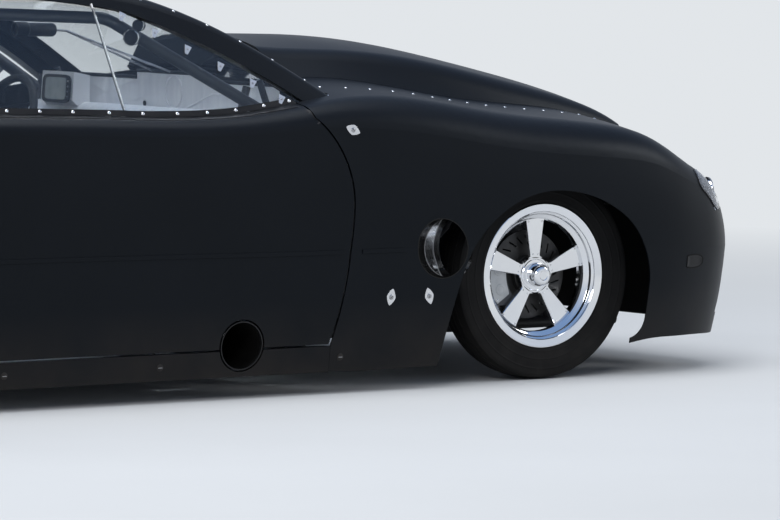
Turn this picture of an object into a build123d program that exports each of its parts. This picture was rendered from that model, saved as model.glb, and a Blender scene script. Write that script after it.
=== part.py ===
"""Door car for the drag strip: lofted body shells over a tube frame, on free rolling wheels.

Millimetres, +X to the nose, +Y to the car's left, +Z up, origin on the ground at the middle.
"""

from build123d import *
import math
import os

os.makedirs("parts", exist_ok=True)

# Overall places along the car
FRONT_OVERHANG = 890
WHEELBASE = 2788
REAR_OVERHANG = 1133
WHEELIE_REACH = 640
OVERALL_LENGTH = FRONT_OVERHANG + WHEELBASE + REAR_OVERHANG + WHEELIE_REACH
FRONT_AXLE_X = OVERALL_LENGTH / 2 - FRONT_OVERHANG
REAR_AXLE_X = FRONT_AXLE_X - WHEELBASE
TAIL_X = REAR_AXLE_X - REAR_OVERHANG

# Shell thicknesses and gaps
SKIN = 6
WALL = 42
GLASS = 6
PANEL_GAP = 7
SEAT_GAP = 0.3
FREE_GAP = 6
CANOPY_GAP = 4
BODY_REACH = 1500

# Heights and places of the door and its seams, behind the front axle
SEAM_Z = 155
DOOR_FRONT_LOW = 881
DOOR_FRONT_MID = 799
DOOR_FRONT_TOP = 932
DOOR_REAR = 2165
HINGE_BACK = 948
HINGE_Y = 898

# Wheels and tyres
FRONT_TYRE_R = 333
FRONT_TYRE_WIDTH = 132
FRONT_RIM_R = 221
FRONT_RIM_WIDTH = 118
FRONT_TRACK_HALF = 742
REAR_TYRE_R = 375
REAR_TYRE_WIDTH = 300
REAR_RIM_R = 196
REAR_RIM_WIDTH = 262
REAR_TRACK_HALF = 710
RIM_WALL = 8
KINGPIN_Y = 600
WHEELIE_WHEEL_R = 55
WHEELIE_WHEEL_WIDTH = 40
WHEELIE_TRACK_HALF = 170

# Round ports in the right and left sides
FENDER_PORT_R = 96
FENDER_PORT_BACK = 459
FENDER_PORT_Z = 443
SIDE_PIPE_R = 76
SIDE_PIPE_BACK = 1208
SIDE_PIPE_Z = 167
PIPE_WALL = 3

# Tubes
FRAME_TUBE_R = 20
CAGE_TUBE_R = 21
SMALL_TUBE_R = 12
RAIL_HALF = 405
RAIL_Z = 150

# Body sections ahead of the front axle: place ahead of the axle, half width and height at the
# sill, at the crease and at the shoulder, height of the crown, shoulder radius
FRONT_ROWS = [
    (FRONT_OVERHANG, 290, 190, 385, 385, 360, 455, 470, 25),
    (876, 425, 150, 518, 390, 480, 490, 512, 35),
    (838, 550, 124, 638, 395, 592, 530, 560, 50),
    (778, 652, 112, 727, 400, 675, 570, 616, 65),
    (685, 733, 114, 802, 405, 760, 630, 690, 85),
    (600, 778, 117, 841, 410, 803, 668, 735, 97),
    (510, 812, 118, 869, 415, 838, 713, 788, 110),
    (400, 841, 118, 889, 421, 861, 763, 842, 118),
    (250, 862, 100, 901, 428, 877, 797, 874, 125),
    (-150, 885, 72, 912, 440, 893, 842, 920, 130),
    (-560, 890, 70, 916, 447, 900, 905, 985, 125),
    (-850, 890, 70, 917, 449, 902, 902, 990, 95),
]
# The same columns behind, as places ahead of the rear axle
REAR_ROWS = [
    (1638, 890, 70, 918, 450, 902, 868, 945, 68),
    (1138, 890, 70, 919, 452, 902, 870, 940, 62),
    (588, 890, 70, 920, 455, 903, 890, 955, 65),
    (0, 888, 85, 922, 460, 905, 905, 960, 80),
    (-462, 878, 130, 915, 465, 893, 915, 965, 80),
    (-812, 850, 200, 885, 470, 855, 915, 955, 75),
    (-1012, 790, 250, 825, 472, 790, 900, 935, 65),
    (-1100, 680, 280, 715, 475, 680, 880, 905, 50),
    (-REAR_OVERHANG, 540, 300, 580, 478, 550, 860, 875, 30),
]
SILL_BULGE = 9
SIDE_BULGE = 14

# Canopy sections: place ahead of the front axle, half width at the foot, half width and height
# of the corner, height of the crown, corner radius
CANOPY_FOOT_Z = 800
CANOPY_ROWS = [
    (-640, 822, 800, 822, 905, 18),
    (-800, 832, 775, 925, 1000, 35),
    (-1100, 840, 708, 1108, 1165, 45),
    (-1400, 842, 650, 1232, 1275, 55),
    (-1800, 842, 615, 1290, 1328, 65),
    (-2250, 836, 600, 1280, 1320, 65),
    (-2650, 815, 590, 1200, 1245, 60),
    (-2950, 790, 600, 1075, 1120, 50),
    (-3250, 750, 640, 905, 955, 35),
    (-3400, 720, 650, 822, 880, 12),
]

# Scoop sections: place ahead of the front axle, half width and height of the foot, half width
# and height of the shoulder, height of the crown, shoulder radius
SCOOP_ROWS = [
    (600, 430, 690, 385, 790, 815, 30),
    (430, 470, 720, 410, 858, 905, 60),
    (200, 510, 760, 425, 916, 972, 85),
    (-150, 545, 810, 415, 997, 1052, 95),
    (-520, 562, 860, 388, 1046, 1096, 95),
    (-805, 570, 880, 368, 1064, 1110, 90),
]
SCOOP_HOLLOW = 12


def ahead(distance):
    """X of a place given ahead of the front axle."""
    return FRONT_AXLE_X + distance


def rear_ahead(distance):
    """X of a place given ahead of the rear axle."""
    return REAR_AXLE_X + distance


def bowed(a, b, bow):
    """Arc from a to b that bows out by a distance, away from the car's middle plane."""
    a, b = Vector(*a), Vector(*b)
    middle = (a + b) * 0.5
    side = (b - a).cross(Vector(1, 0, 0)).normalized()
    if side.Y * middle.Y < 0:
        side = side * -1
    return ThreePointArc(a, middle + side * bow, b)


def rounded(wire, radius, half, height):
    """Fillet the left and right corners of a cross section."""
    corners = [v for v in wire.vertices() if abs(v.Z - height) < 0.01 and abs(abs(v.Y) - half) < 0.01]
    return wire.fillet_2d(radius, corners)


def body_section(x, sill, sill_z, crease, crease_z, shoulder, shoulder_z, crown_z, radius):
    """Closed cross section of the lower body."""
    right = [(x, -sill, sill_z), (x, -crease, crease_z), (x, -shoulder, shoulder_z)]
    left = [(x, -y, z) for x, y, z in right]
    edges = [
        Line(right[0], left[0]),
        bowed(left[0], left[1], SILL_BULGE),
        bowed(left[1], left[2], SIDE_BULGE),
        ThreePointArc(left[2], (x, 0, crown_z), right[2]),
        bowed(right[2], right[1], SIDE_BULGE),
        bowed(right[1], right[0], SILL_BULGE),
    ]
    return rounded(Wire([edge.edge() for edge in edges]), radius, shoulder, shoulder_z)


BODY_ROWS = [(ahead(row[0]), row) for row in FRONT_ROWS]
BODY_ROWS += [(rear_ahead(row[0]), row) for row in REAR_ROWS]
# The front clip is cut from the first stretch, the doors and tail from the second
NOSE_ROWS = BODY_ROWS[:len(FRONT_ROWS) + 2]
AFT_ROWS = BODY_ROWS[len(FRONT_ROWS) - 3:]


def body_form(rows, inset=0, floor_drop=0):
    """Solid of a stretch of the lower body, moved inward by an inset, its underside lowered."""
    sections = []
    for x, (_, sill, sill_z, crease, crease_z, shoulder, shoulder_z, crown_z, radius) in rows:
        if x > ahead(600):
            x -= inset
        if x < rear_ahead(-900):
            x += inset
        sections.append(
            body_section(
                x, sill - inset, sill_z - floor_drop, crease - inset, crease_z,
                shoulder - inset, shoulder_z - inset, crown_z - inset, max(radius - inset, 8),
            )
        )
    return Solid.make_loft(sections)


def canopy_form(inset=0, foot_drop=0):
    """Solid of the cabin's upper form, moved inward by an inset, its foot lowered."""
    sections = []
    for place, foot, corner, corner_z, crown_z, radius in CANOPY_ROWS:
        x = ahead(place)
        half = corner - inset
        height = corner_z - inset
        top = crown_z - inset
        low = min(CANOPY_FOOT_Z, corner_z - inset - 4) - foot_drop
        edges = [
            Line((x, -foot + inset, low), (x, foot - inset, low)),
            bowed((x, foot - inset, low), (x, half, height), SILL_BULGE),
            ThreePointArc((x, half, height), (x, 0, top), (x, -half, height)),
            bowed((x, -half, height), (x, -foot + inset, low), SILL_BULGE),
        ]
        wire = Wire([edge.edge() for edge in edges])
        sections.append(rounded(wire, min(max(radius - inset / 2, 6), 65), half, height))
    return Solid.make_loft(sections)


def scoop_form(inset=0):
    """Solid of the hood scoop, moved inward by an inset."""
    sections = []
    for place, foot, foot_z, shoulder, shoulder_z, crown_z, radius in SCOOP_ROWS:
        x = ahead(place) + (inset if place == SCOOP_ROWS[-1][0] else 0)
        low = foot_z - 60 - inset
        right = [(x, -foot + inset, foot_z), (x, -shoulder + inset, shoulder_z - inset)]
        left = [(x, -y, z) for x, y, z in right]
        edges = [
            Line((x, -foot + inset, low), (x, foot - inset, low)),
            Line((x, foot - inset, low), left[0]),
            bowed(left[0], left[1], -SCOOP_HOLLOW),
            ThreePointArc(left[1], (x, 0, crown_z - inset), right[1]),
            bowed(right[1], right[0], -SCOOP_HOLLOW),
            Line(right[0], (x, -foot + inset, low)),
        ]
        wire = Wire([edge.edge() for edge in edges])
        sections.append(rounded(wire, max(radius - inset, 8), shoulder - inset, shoulder_z - inset))
    return Solid.make_loft(sections)


def drawn(start, steps, place):
    """Face through a start point and steps, each a point or a pair of arc points."""
    edges = []
    here = start
    for step in list(steps) + [start]:
        if isinstance(step[0], tuple):
            middle, end = step
            edges.append(ThreePointArc(place(here), place(middle), place(end)).edge())
        else:
            end = step
            edges.append(Line(place(here), place(end)).edge())
        here = end
    return Face(Wire(edges))


def side_prism(start, steps, y_from, y_to):
    """Solid of a side view outline, given as distances ahead of the front axle and heights."""
    face = drawn(start, steps, lambda p: (ahead(p[0]), y_from, p[1]))
    return Solid.extrude(face, Vector(0, y_to - y_from, 0))


def top_prism(start, steps, z_from, z_to):
    """Solid of a plan outline, given as distances ahead of the front axle and half widths."""
    face = drawn(start, steps, lambda p: (ahead(p[0]), p[1], z_from))
    return Solid.extrude(face, Vector(0, 0, z_to - z_from))


def front_prism(start, steps, x_from, x_to):
    """Solid of a front view outline in Y and Z, from one place ahead of the axle to another."""
    face = drawn(start, steps, lambda p: (ahead(x_from), p[0], p[1]))
    return Solid.extrude(face, Vector(x_to - x_from, 0, 0))


def slab(x_from, x_to, y_from, y_to, z_from, z_to):
    """Block between absolute limits."""
    block = Solid.make_box(x_to - x_from, y_to - y_from, z_to - z_from)
    return block.moved(Location((x_from, y_from, z_from)))


def rod(start, end, radius):
    """Round bar between two points."""
    start, end = Vector(*start), Vector(*end)
    run = end - start
    return Solid.make_cylinder(radius, run.length, Plane(origin=start, z_dir=run))


def pipe(start, end, radius, wall):
    """Straight open tube between two points."""
    return rod(start, end, radius) - rod(start, end, radius - wall)


def bent(points, radius, bend):
    """Round bar along straight runs joined by arcs."""
    path = FilletPolyline(*points, radius=bend)
    return sweep(Plane(origin=path @ 0, z_dir=path % 0) * Circle(radius), path=path)


def mirrored(shape):
    """The same shape on the other side of the car."""
    return shape.mirror(Plane.XZ)


def pair(shape):
    """The shape and its mirror image."""
    return [shape, mirrored(shape)]


def union(pieces):
    """One solid from pieces that meet."""
    whole = pieces[0]
    for piece in pieces[1:]:
        whole = whole + piece
    return whole


def ring_at(profile_rows, centre_x, centre_y, centre_z):
    """Body of revolution about a line along Y; rows are offset along Y and radius."""
    points = [(centre_x, centre_y + y, centre_z + r) for y, r in profile_rows]
    face = Face(Wire.make_polygon([Vector(*p) for p in points], close=True))
    axis = Axis((centre_x, centre_y, centre_z), (0, 1, 0))
    return Solid.revolve(face, 360, axis)


nodes = {}


def keep(name, shape):
    """Store the finished solids of one node."""
    nodes[name] = shape


# Forms that the panels are cut from
OPEN_FLOOR = 60
CLIP_FLOOR = 8
nose_outer = body_form(NOSE_ROWS)
nose_shell = nose_outer - body_form(NOSE_ROWS, SKIN, CLIP_FLOOR)
aft_outer = body_form(AFT_ROWS)
aft_shell = aft_outer - body_form(AFT_ROWS, WALL, OPEN_FLOOR)
canopy = canopy_form()
canopy_wall_inner = canopy_form(WALL, 10)
canopy_clear = canopy_form(-SEAT_GAP)
canopy_free = canopy_form(-CANOPY_GAP)
glass_sheet = canopy - canopy_form(GLASS, 10)

# Wheel openings
ARCH_TOP_Z = 612
front_arch = side_prism(
    (-490, -40),
    [
        ((-451, 160), (-388, 360)),
        ((-245, 543), (-25, ARCH_TOP_Z)),
        ((110, 592), (236, 533)),
        ((325, 437), (361, 310)),
        (356, 195),
        ((344, 152), (300, 124)),
        (300, -40),
    ],
    -BODY_REACH, BODY_REACH,
)
REAR_ARCH_R = 410
rear_arch = side_prism(
    (-WHEELBASE - 425, -40),
    [
        (-WHEELBASE - REAR_ARCH_R, 330),
        ((-WHEELBASE, 330 + REAR_ARCH_R * 0.8), (-WHEELBASE + REAR_ARCH_R, 330)),
        (-WHEELBASE + 425, -40),
    ],
    -BODY_REACH, BODY_REACH,
)

# Front clip: one lift-off shell of fenders, hood and bumper
SHUT_MID_Z = 590
SHUT_TOP_Z = 864
clip_region = side_prism(
    (-DOOR_FRONT_LOW, 40),
    [
        (-DOOR_FRONT_LOW, SEAM_Z),
        ((-829, 340), (-DOOR_FRONT_MID, SHUT_MID_Z)),
        ((-847, 766), (-DOOR_FRONT_TOP, SHUT_TOP_Z)),
        (-DOOR_FRONT_TOP - 30, 960),
        (-DOOR_FRONT_TOP - 30, 1100),
        (FRONT_OVERHANG + 50, 1100),
        (FRONT_OVERHANG + 50, 40),
    ],
    -BODY_REACH, BODY_REACH,
)
scoop_outer = scoop_form()
scoop_inner = scoop_form(SKIN)
scoop_hole = scoop_form(40)
clip = nose_shell & clip_region
clip = clip - front_arch - canopy_free - scoop_hole
port_x = ahead(-FENDER_PORT_BACK)
PORT_ANGLE = math.radians(60)
PORT_SKIN_Y = -912
port_run = Vector(math.sin(PORT_ANGLE), math.cos(PORT_ANGLE), 0)


def port_bore(radius, outside, inside):
    """Slanted round bore through the right fender, round where it leaves the skin."""
    start = Vector(port_x, PORT_SKIN_Y, FENDER_PORT_Z) - port_run * outside
    face = Face(Wire.make_circle(radius, Plane(origin=start, z_dir=(0, 1, 0))))
    return Solid.extrude(face, port_run * (outside + inside))


right_bore = port_bore(FENDER_PORT_R, 60, 60)
clip = clip - right_bore - mirrored(right_bore)

# Openings in the nose
lower_opening = front_prism((-430, 165), [(430, 165), (390, 300), (-390, 300)], 700, 1000)
upper_slots = [
    front_prism((70, 425), [(330, 420), (325, 480), (80, 470)], 700, 1000),
]
upper_slots.append(mirrored(upper_slots[0]))
side_vents = front_prism((-700, 180), [(-560, 165), (-545, 300), (-675, 330)], 600, 1000)
openings = [lower_opening] + upper_slots + pair(side_vents)
for opening in openings:
    clip = clip - opening


def lamp_prism(shrink):
    """Front view outline of the right headlamp, shrunk all round."""
    return front_prism(
        (-480 - shrink, 545 + shrink),
        [(-792 + shrink, 520 + shrink), (-800 + shrink, 650 - shrink), (-500 - shrink, 590 - shrink)],
        500, 1000,
    )


clip = clip - lamp_prism(0) - mirrored(lamp_prism(0))
keep("front_clip", clip)

LAMP_DEPTH = 30
lamp_shell = nose_outer - body_form(NOSE_ROWS, LAMP_DEPTH, OPEN_FLOOR)
headlamp = lamp_shell & lamp_prism(SEAT_GAP)
keep("headlamps", pair(headlamp))

# Grille: an upright mesh panel behind the nose openings
GRILLE_AHEAD = 820
GRILLE_THICK = 5
GRILLE_HALF = 700
GRILLE_LOW = 140
GRILLE_TOP = 500
GRILLE_COLUMNS = 21
GRILLE_ROWS = 7
GRILLE_PITCH_Y = 50
GRILLE_PITCH_Z = 46
GRILLE_BAR = 7
grille = slab(
    ahead(GRILLE_AHEAD), ahead(GRILLE_AHEAD) + GRILLE_THICK, -GRILLE_HALF, GRILLE_HALF, GRILLE_LOW, GRILLE_TOP
)
grille = grille & body_form(NOSE_ROWS, SKIN + SEAT_GAP)
meshes = []
for column in range(GRILLE_COLUMNS):
    mesh_y = (column - GRILLE_COLUMNS / 2) * GRILLE_PITCH_Y
    for row in range(GRILLE_ROWS):
        mesh_z = GRILLE_LOW + GRILLE_BAR + row * GRILLE_PITCH_Z
        meshes.append(
            slab(
                ahead(GRILLE_AHEAD) - 1, ahead(GRILLE_AHEAD) + GRILLE_THICK + 1,
                mesh_y + GRILLE_BAR / 2, mesh_y + GRILLE_PITCH_Y - GRILLE_BAR / 2,
                mesh_z + GRILLE_BAR / 2, mesh_z + GRILLE_PITCH_Z - GRILLE_BAR / 2,
            )
        )
keep("grille", grille.cut(*meshes))

# Hood scoop
scoop = (scoop_outer - scoop_inner) - body_form(NOSE_ROWS, -SEAT_GAP) - canopy_free
keep("hood_scoop", scoop)

# Doors
door_region = side_prism(
    (-DOOR_FRONT_LOW - PANEL_GAP, SEAM_Z + PANEL_GAP / 2),
    [
        ((-829 - PANEL_GAP, 340), (-DOOR_FRONT_MID - PANEL_GAP, SHUT_MID_Z)),
        ((-847 - PANEL_GAP, 766), (-DOOR_FRONT_TOP - PANEL_GAP, SHUT_TOP_Z)),
        (-DOOR_FRONT_TOP - 30 - PANEL_GAP, 990),
        (-DOOR_REAR, 990),
        (-DOOR_REAR, SEAM_Z + PANEL_GAP / 2),
    ],
    -BODY_REACH, -700,
)
side_pipe_x = ahead(-SIDE_PIPE_BACK)
pipe_notch = rod(
    (side_pipe_x, -BODY_REACH, SIDE_PIPE_Z), (side_pipe_x, BODY_REACH, SIDE_PIPE_Z), SIDE_PIPE_R + FREE_GAP
)
door = (aft_shell & door_region) - canopy_clear - pipe_notch


def window_prism(shrink):
    """Side view outline of the door window, shrunk all round."""
    return side_prism(
        (-900 - shrink, 850),
        [
            (-900 - shrink, 903 - shrink),
            ((-1180 - shrink, 1066 - shrink), (-1480 - shrink, 1196 - shrink)),
            ((-1760, 1234 - shrink), (-DOOR_REAR + 55 + shrink, 1230 - shrink)),
            (-DOOR_REAR + 20 + shrink, 850),
        ],
        -BODY_REACH, -480,
    )


door_window = glass_sheet & window_prism(PANEL_GAP)
keep("door_window_right", door_window)
keep("door_window_left", mirrored(door_window))


def quarter_prism(shrink):
    """Side view outline of the fixed quarter window, shrunk all round."""
    return side_prism(
        (-DOOR_REAR - 60 - shrink, 940 + shrink),
        [
            (-DOOR_REAR - 60 - shrink, 1224 - shrink),
            ((-2420, 1195 - shrink), (-2700 + shrink, 1090 - shrink)),
            (-2870 + shrink, 965 + shrink),
            (-2845 + shrink, 940 + shrink),
        ],
        -BODY_REACH, -480,
    )


def windshield_prism(shrink):
    """Plan outline of the windshield, shrunk all round."""
    return top_prism(
        (-700 - shrink, 740 - shrink),
        [(-1500 + shrink, 572 - shrink), (-1500 + shrink, -572 + shrink), (-700 - shrink, -740 + shrink)],
        840, 1400,
    )


def rear_window_prism(shrink):
    """Plan outline of the rear window, shrunk all round."""
    return top_prism(
        (-2500 - shrink, 500 - shrink),
        [(-3130 + shrink, 545 - shrink), (-3130 + shrink, -545 + shrink), (-2500 - shrink, -500 + shrink)],
        900, 1400,
    )


keep("windshield", glass_sheet & windshield_prism(SEAT_GAP))
keep("rear_window", glass_sheet & rear_window_prism(SEAT_GAP))
keep("quarter_windows", pair(glass_sheet & quarter_prism(SEAT_GAP)))

# Main shell: roof, pillars and quarters in one moulding
roof = (canopy - canopy_wall_inner) - windshield_prism(0) - rear_window_prism(0)
roof = roof - window_prism(0) - mirrored(window_prism(0))
roof = roof - quarter_prism(0) - mirrored(quarter_prism(0))
door_mouth = slab(ahead(-DOOR_REAR), ahead(-950), -BODY_REACH, BODY_REACH, 0, 900)
roof = roof - door_mouth
BUMPER_FRONT = 3330
quarter_region = slab(
    ahead(-BUMPER_FRONT), ahead(-DOOR_REAR - PANEL_GAP), -BODY_REACH, BODY_REACH, SEAM_Z + PANEL_GAP / 2, 1100
)
quarters = (aft_shell & quarter_region) - rear_arch - canopy_wall_inner
quarters = quarters - quarter_prism(0) - mirrored(quarter_prism(0))
DECK_HALF = 640
main_shell = roof + quarters

# Room in the pillar foot for the front edge of the door as it swings in
DOOR_TUCK_R = 92
DOOR_TUCK_TOP = 822
tuck_low = (ahead(-HINGE_BACK), -HINGE_Y, CANOPY_FOOT_Z - FREE_GAP)
tuck_high = (ahead(-HINGE_BACK), -HINGE_Y, DOOR_TUCK_TOP)
door_tuck = rod(tuck_low, tuck_high, DOOR_TUCK_R)
main_shell = main_shell - door_tuck - mirrored(door_tuck)
keep("main_shell", main_shell)

# Tail
tail_region = slab(TAIL_X - 50, ahead(-BUMPER_FRONT - SEAT_GAP), -BODY_REACH, BODY_REACH, 100, 1100)
DECK_TAIL = 3860
DECK_THICK = 10
DECK_GAP = 2
DECK_LIP = 50


def deck_prism(shrink):
    """Plan outline of the deck lid, shrunk all round."""
    return top_prism(
        (-BUMPER_FRONT - 5 - shrink, DECK_HALF - shrink),
        [
            (-DECK_TAIL + shrink, DECK_HALF - 120 - shrink),
            (-DECK_TAIL + shrink, -DECK_HALF + 120 + shrink),
            (-BUMPER_FRONT - 5 - shrink, -DECK_HALF + shrink),
        ],
        840, 1100,
    )


tail = aft_shell & tail_region
deck_recess = (aft_outer - body_form(AFT_ROWS, DECK_THICK + SEAT_GAP, OPEN_FLOOR)) & deck_prism(0)
tail = tail - deck_recess - deck_prism(DECK_LIP)
deck_lid = (aft_outer - body_form(AFT_ROWS, DECK_THICK, OPEN_FLOOR)) & deck_prism(DECK_GAP)
keep("deck_lid", deck_lid)

# Rockers
rocker_region = side_prism(
    (-DOOR_FRONT_LOW - SEAT_GAP, 40),
    [
        (-DOOR_FRONT_LOW - SEAT_GAP, SEAM_Z - PANEL_GAP / 2),
        (-WHEELBASE + 470, SEAM_Z - PANEL_GAP / 2),
        (-WHEELBASE + 450, 40),
    ],
    -BODY_REACH, -700,
)
rocker = (aft_shell & rocker_region) - pipe_notch
keep("rockers", pair(rocker))


# Hinge pockets in the doors, with pin holes above and below
HINGE_HEIGHTS = [320, 660]
HINGE_EYE_R = 10
HINGE_EYE_ROOM = 1.5
HINGE_SWING = 170
HINGE_FOOT_FRONT = 887
HINGE_FOOT_Y = 712
HINGE_FOOT_THICK = 32
HINGE_EYE_HALF = 34
HINGE_PIN_R = 6
HINGE_PIN_REACH = 8
hinge_x = ahead(-HINGE_BACK)


def hinge_pocket(z):
    """Space round one hinge of the right door."""
    pocket = slab(
        hinge_x - 24, hinge_x + HINGE_SWING, -HINGE_Y - HINGE_EYE_R - HINGE_EYE_ROOM, -700,
        z - HINGE_EYE_HALF - 3, z + HINGE_EYE_HALF + 3,
    )
    half = HINGE_EYE_HALF + 3 + HINGE_PIN_REACH + SEAT_GAP
    hole = rod((hinge_x, -HINGE_Y, z - half), (hinge_x, -HINGE_Y, z + half), HINGE_PIN_R + SEAT_GAP)
    return pocket + hole


def hinge(z):
    """Fixed hinge eye, pin and arm of the right door."""
    eye = rod((hinge_x, -HINGE_Y, z - HINGE_EYE_HALF), (hinge_x, -HINGE_Y, z + HINGE_EYE_HALF), HINGE_EYE_R)
    half = HINGE_EYE_HALF + 3 + HINGE_PIN_REACH
    pin = rod((hinge_x, -HINGE_Y, z - half), (hinge_x, -HINGE_Y, z + half), HINGE_PIN_R)
    arm = slab(hinge_x - 6, hinge_x + 6, -HINGE_Y, HINGE_FOOT_THICK - HINGE_FOOT_Y - 4, z - 20, z + 20)
    foot = slab(
        hinge_x - 6, ahead(-HINGE_FOOT_FRONT), -HINGE_FOOT_Y, HINGE_FOOT_THICK - HINGE_FOOT_Y, z - 20, z + 20
    )
    return union([eye, pin, arm, foot])


for hinge_z in HINGE_HEIGHTS:
    door = door - hinge_pocket(hinge_z)
keep("door_right", door)
keep("door_left", mirrored(door))

# Wheels
BEAD_STEP = 16
SPOKES = 5
SPOKE_ROOT_HALF = 17
SPOKE_TIP_HALF = 37
SPOKE_THICK = 14
HUB_R = 46
CAP_R = 36
CAP_REACH = 50


def tyre(centre, bead_r, half_rim, tyre_r, half_width):
    """Tyre as a ring with bowed sides and a slightly crowned tread."""
    x, y, z = centre

    def at(offset, radius):
        return (x, y + offset, z + radius)

    seat = half_rim - 9 - SEAT_GAP
    flange = bead_r + BEAD_STEP + SEAT_GAP
    low = bead_r + 1 + SEAT_GAP
    side = tyre_r - 0.16 * (tyre_r - bead_r)
    middle = (flange + side) / 2
    edges = [
        Line(at(-seat, low), at(seat, low)),
        Line(at(seat, low), at(seat, flange)),
        Line(at(seat, flange), at(half_rim, flange + 2)),
        ThreePointArc(at(half_rim, flange + 2), at(half_width, middle), at(half_width - 5, side)),
        ThreePointArc(
            at(half_width - 5, side),
            at(half_width - 10, tyre_r - 0.35 * (tyre_r - side)),
            at(half_width - 22, tyre_r - 4),
        ),
        ThreePointArc(at(half_width - 22, tyre_r - 4), at(0, tyre_r), at(22 - half_width, tyre_r - 4)),
        ThreePointArc(
            at(22 - half_width, tyre_r - 4),
            at(10 - half_width, tyre_r - 0.35 * (tyre_r - side)),
            at(5 - half_width, side),
        ),
        ThreePointArc(at(5 - half_width, side), at(-half_width, middle), at(-half_rim, flange + 2)),
        Line(at(-half_rim, flange + 2), at(-seat, flange)),
        Line(at(-seat, flange), at(-seat, low)),
    ]
    face = Face(Wire([edge.edge() for edge in edges]))
    return Solid.revolve(face, 360, Axis(centre, (0, 1, 0)))


def rim(centre, bead_r, half_rim, disc_back):
    """Right hand rim: stepped barrel, five widening spokes, hub and cap, outward to -Y."""
    x, y, z = centre
    flange = bead_r + BEAD_STEP
    barrel = [
        (-half_rim, flange), (-half_rim + 7, flange), (-half_rim + 9, bead_r + 1),
        (-half_rim + 34, bead_r - 2), (-half_rim + 48, bead_r - 18), (half_rim - 40, bead_r - 18),
        (half_rim - 28, bead_r - 2), (half_rim - 9, bead_r + 1), (half_rim - 7, flange),
        (half_rim, flange), (half_rim, bead_r - 6), (half_rim - 20, bead_r - 9),
        (half_rim - 34, bead_r - 27), (-half_rim + 46, bead_r - 27), (-half_rim + 30, bead_r - 9),
        (-half_rim + 4, bead_r - 6), (-half_rim, bead_r + 4),
    ]
    whole = ring_at(barrel, x, y, z)
    face_y = y - half_rim + 46
    hub = [
        (disc_back, 0), (disc_back, HUB_R + 14), (face_y - y - 2, HUB_R + 6), (face_y - y - 6, CAP_R + 2),
        (face_y - y - CAP_REACH + 12, CAP_R - 1), (face_y - y - CAP_REACH, CAP_R - 12), (face_y - y - CAP_REACH, 0),
    ]
    whole = whole + ring_at(hub, x, y, z)
    reach = bead_r - 20
    for number in range(SPOKES):
        turn = math.radians(90 + 360 / SPOKES * number)

        def at(along, across):
            return (
                x + along * math.cos(turn) - across * math.sin(turn),
                face_y,
                z + along * math.sin(turn) + across * math.cos(turn),
            )

        outline = [
            at(HUB_R - 12, -SPOKE_ROOT_HALF), at(HUB_R + 22, -SPOKE_ROOT_HALF), at(reach, -SPOKE_TIP_HALF),
            at(reach, SPOKE_TIP_HALF), at(HUB_R + 22, SPOKE_ROOT_HALF), at(HUB_R - 12, SPOKE_ROOT_HALF),
        ]
        face = Face(Wire.make_polygon([Vector(*p) for p in outline], close=True))
        whole = whole + Solid.extrude(face, Vector(0, SPOKE_THICK, 0))
    return whole


FRONT_HALF_RIM = FRONT_RIM_WIDTH / 2
FRONT_BEAD_R = FRONT_RIM_R - 5
REAR_HALF_RIM = REAR_RIM_WIDTH / 2
REAR_BEAD_R = REAR_RIM_R - 5
front_centre = (FRONT_AXLE_X, -FRONT_TRACK_HALF, FRONT_TYRE_R)
rear_centre = (REAR_AXLE_X, -REAR_TRACK_HALF, REAR_TYRE_R)
FRONT_HUB_BACK = 12
REAR_HUB_BACK = -20
front_rim = rim(front_centre, FRONT_BEAD_R, FRONT_HALF_RIM, FRONT_HUB_BACK)
rear_rim = rim(rear_centre, REAR_BEAD_R, REAR_HALF_RIM, REAR_HUB_BACK)
front_tyre = tyre(front_centre, FRONT_BEAD_R, FRONT_HALF_RIM, FRONT_TYRE_R, FRONT_TYRE_WIDTH / 2)
rear_tyre = tyre(rear_centre, REAR_BEAD_R, REAR_HALF_RIM, REAR_TYRE_R, REAR_TYRE_WIDTH / 2)
keep("front_rim_right", front_rim)
keep("front_rim_left", mirrored(front_rim))
keep("front_tyre_right", front_tyre)
keep("front_tyre_left", mirrored(front_tyre))
keep("rear_rim_right", rear_rim)
keep("rear_rim_left", mirrored(rear_rim))
keep("rear_tyre_right", rear_tyre)
keep("rear_tyre_left", mirrored(rear_tyre))

# Front brakes and knuckles
DISC_R = 142
DISC_THICK = 10
DISC_IN = 34
BRAKE_GAP = 5
disc_rows = [
    (FRONT_HUB_BACK + SEAT_GAP, 0), (FRONT_HUB_BACK + SEAT_GAP, 62), (DISC_IN, 62), (DISC_IN, DISC_R),
    (DISC_IN + DISC_THICK, DISC_R), (DISC_IN + DISC_THICK, 0),
]
front_disc = ring_at(disc_rows, *front_centre)
keep("brake_disc_right", front_disc)
keep("brake_disc_left", mirrored(front_disc))

kingpin_low = 185
kingpin_high = 430
STRUT_R = 24
SPINDLE_R = 22
knuckle = rod((FRONT_AXLE_X, -KINGPIN_Y, kingpin_low), (FRONT_AXLE_X, -KINGPIN_Y, kingpin_high), STRUT_R)
spindle_end = -FRONT_TRACK_HALF + DISC_IN + DISC_THICK + SEAT_GAP
knuckle = knuckle + rod(
    (FRONT_AXLE_X, -KINGPIN_Y, FRONT_TYRE_R), (FRONT_AXLE_X, spindle_end, FRONT_TYRE_R), SPINDLE_R
)
caliper_low = DISC_IN - BRAKE_GAP - 22
caliper_high = DISC_IN + DISC_THICK + BRAKE_GAP + 22
caliper_ring = ring_at(
    [
        (caliper_low, 98), (caliper_low, DISC_R + 24), (caliper_high, DISC_R + 24), (caliper_high, 98),
        (DISC_IN + DISC_THICK + BRAKE_GAP, 98), (DISC_IN + DISC_THICK + BRAKE_GAP, DISC_R + BRAKE_GAP),
        (DISC_IN - BRAKE_GAP, DISC_R + BRAKE_GAP), (DISC_IN - BRAKE_GAP, 98),
    ],
    *front_centre,
)
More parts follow.
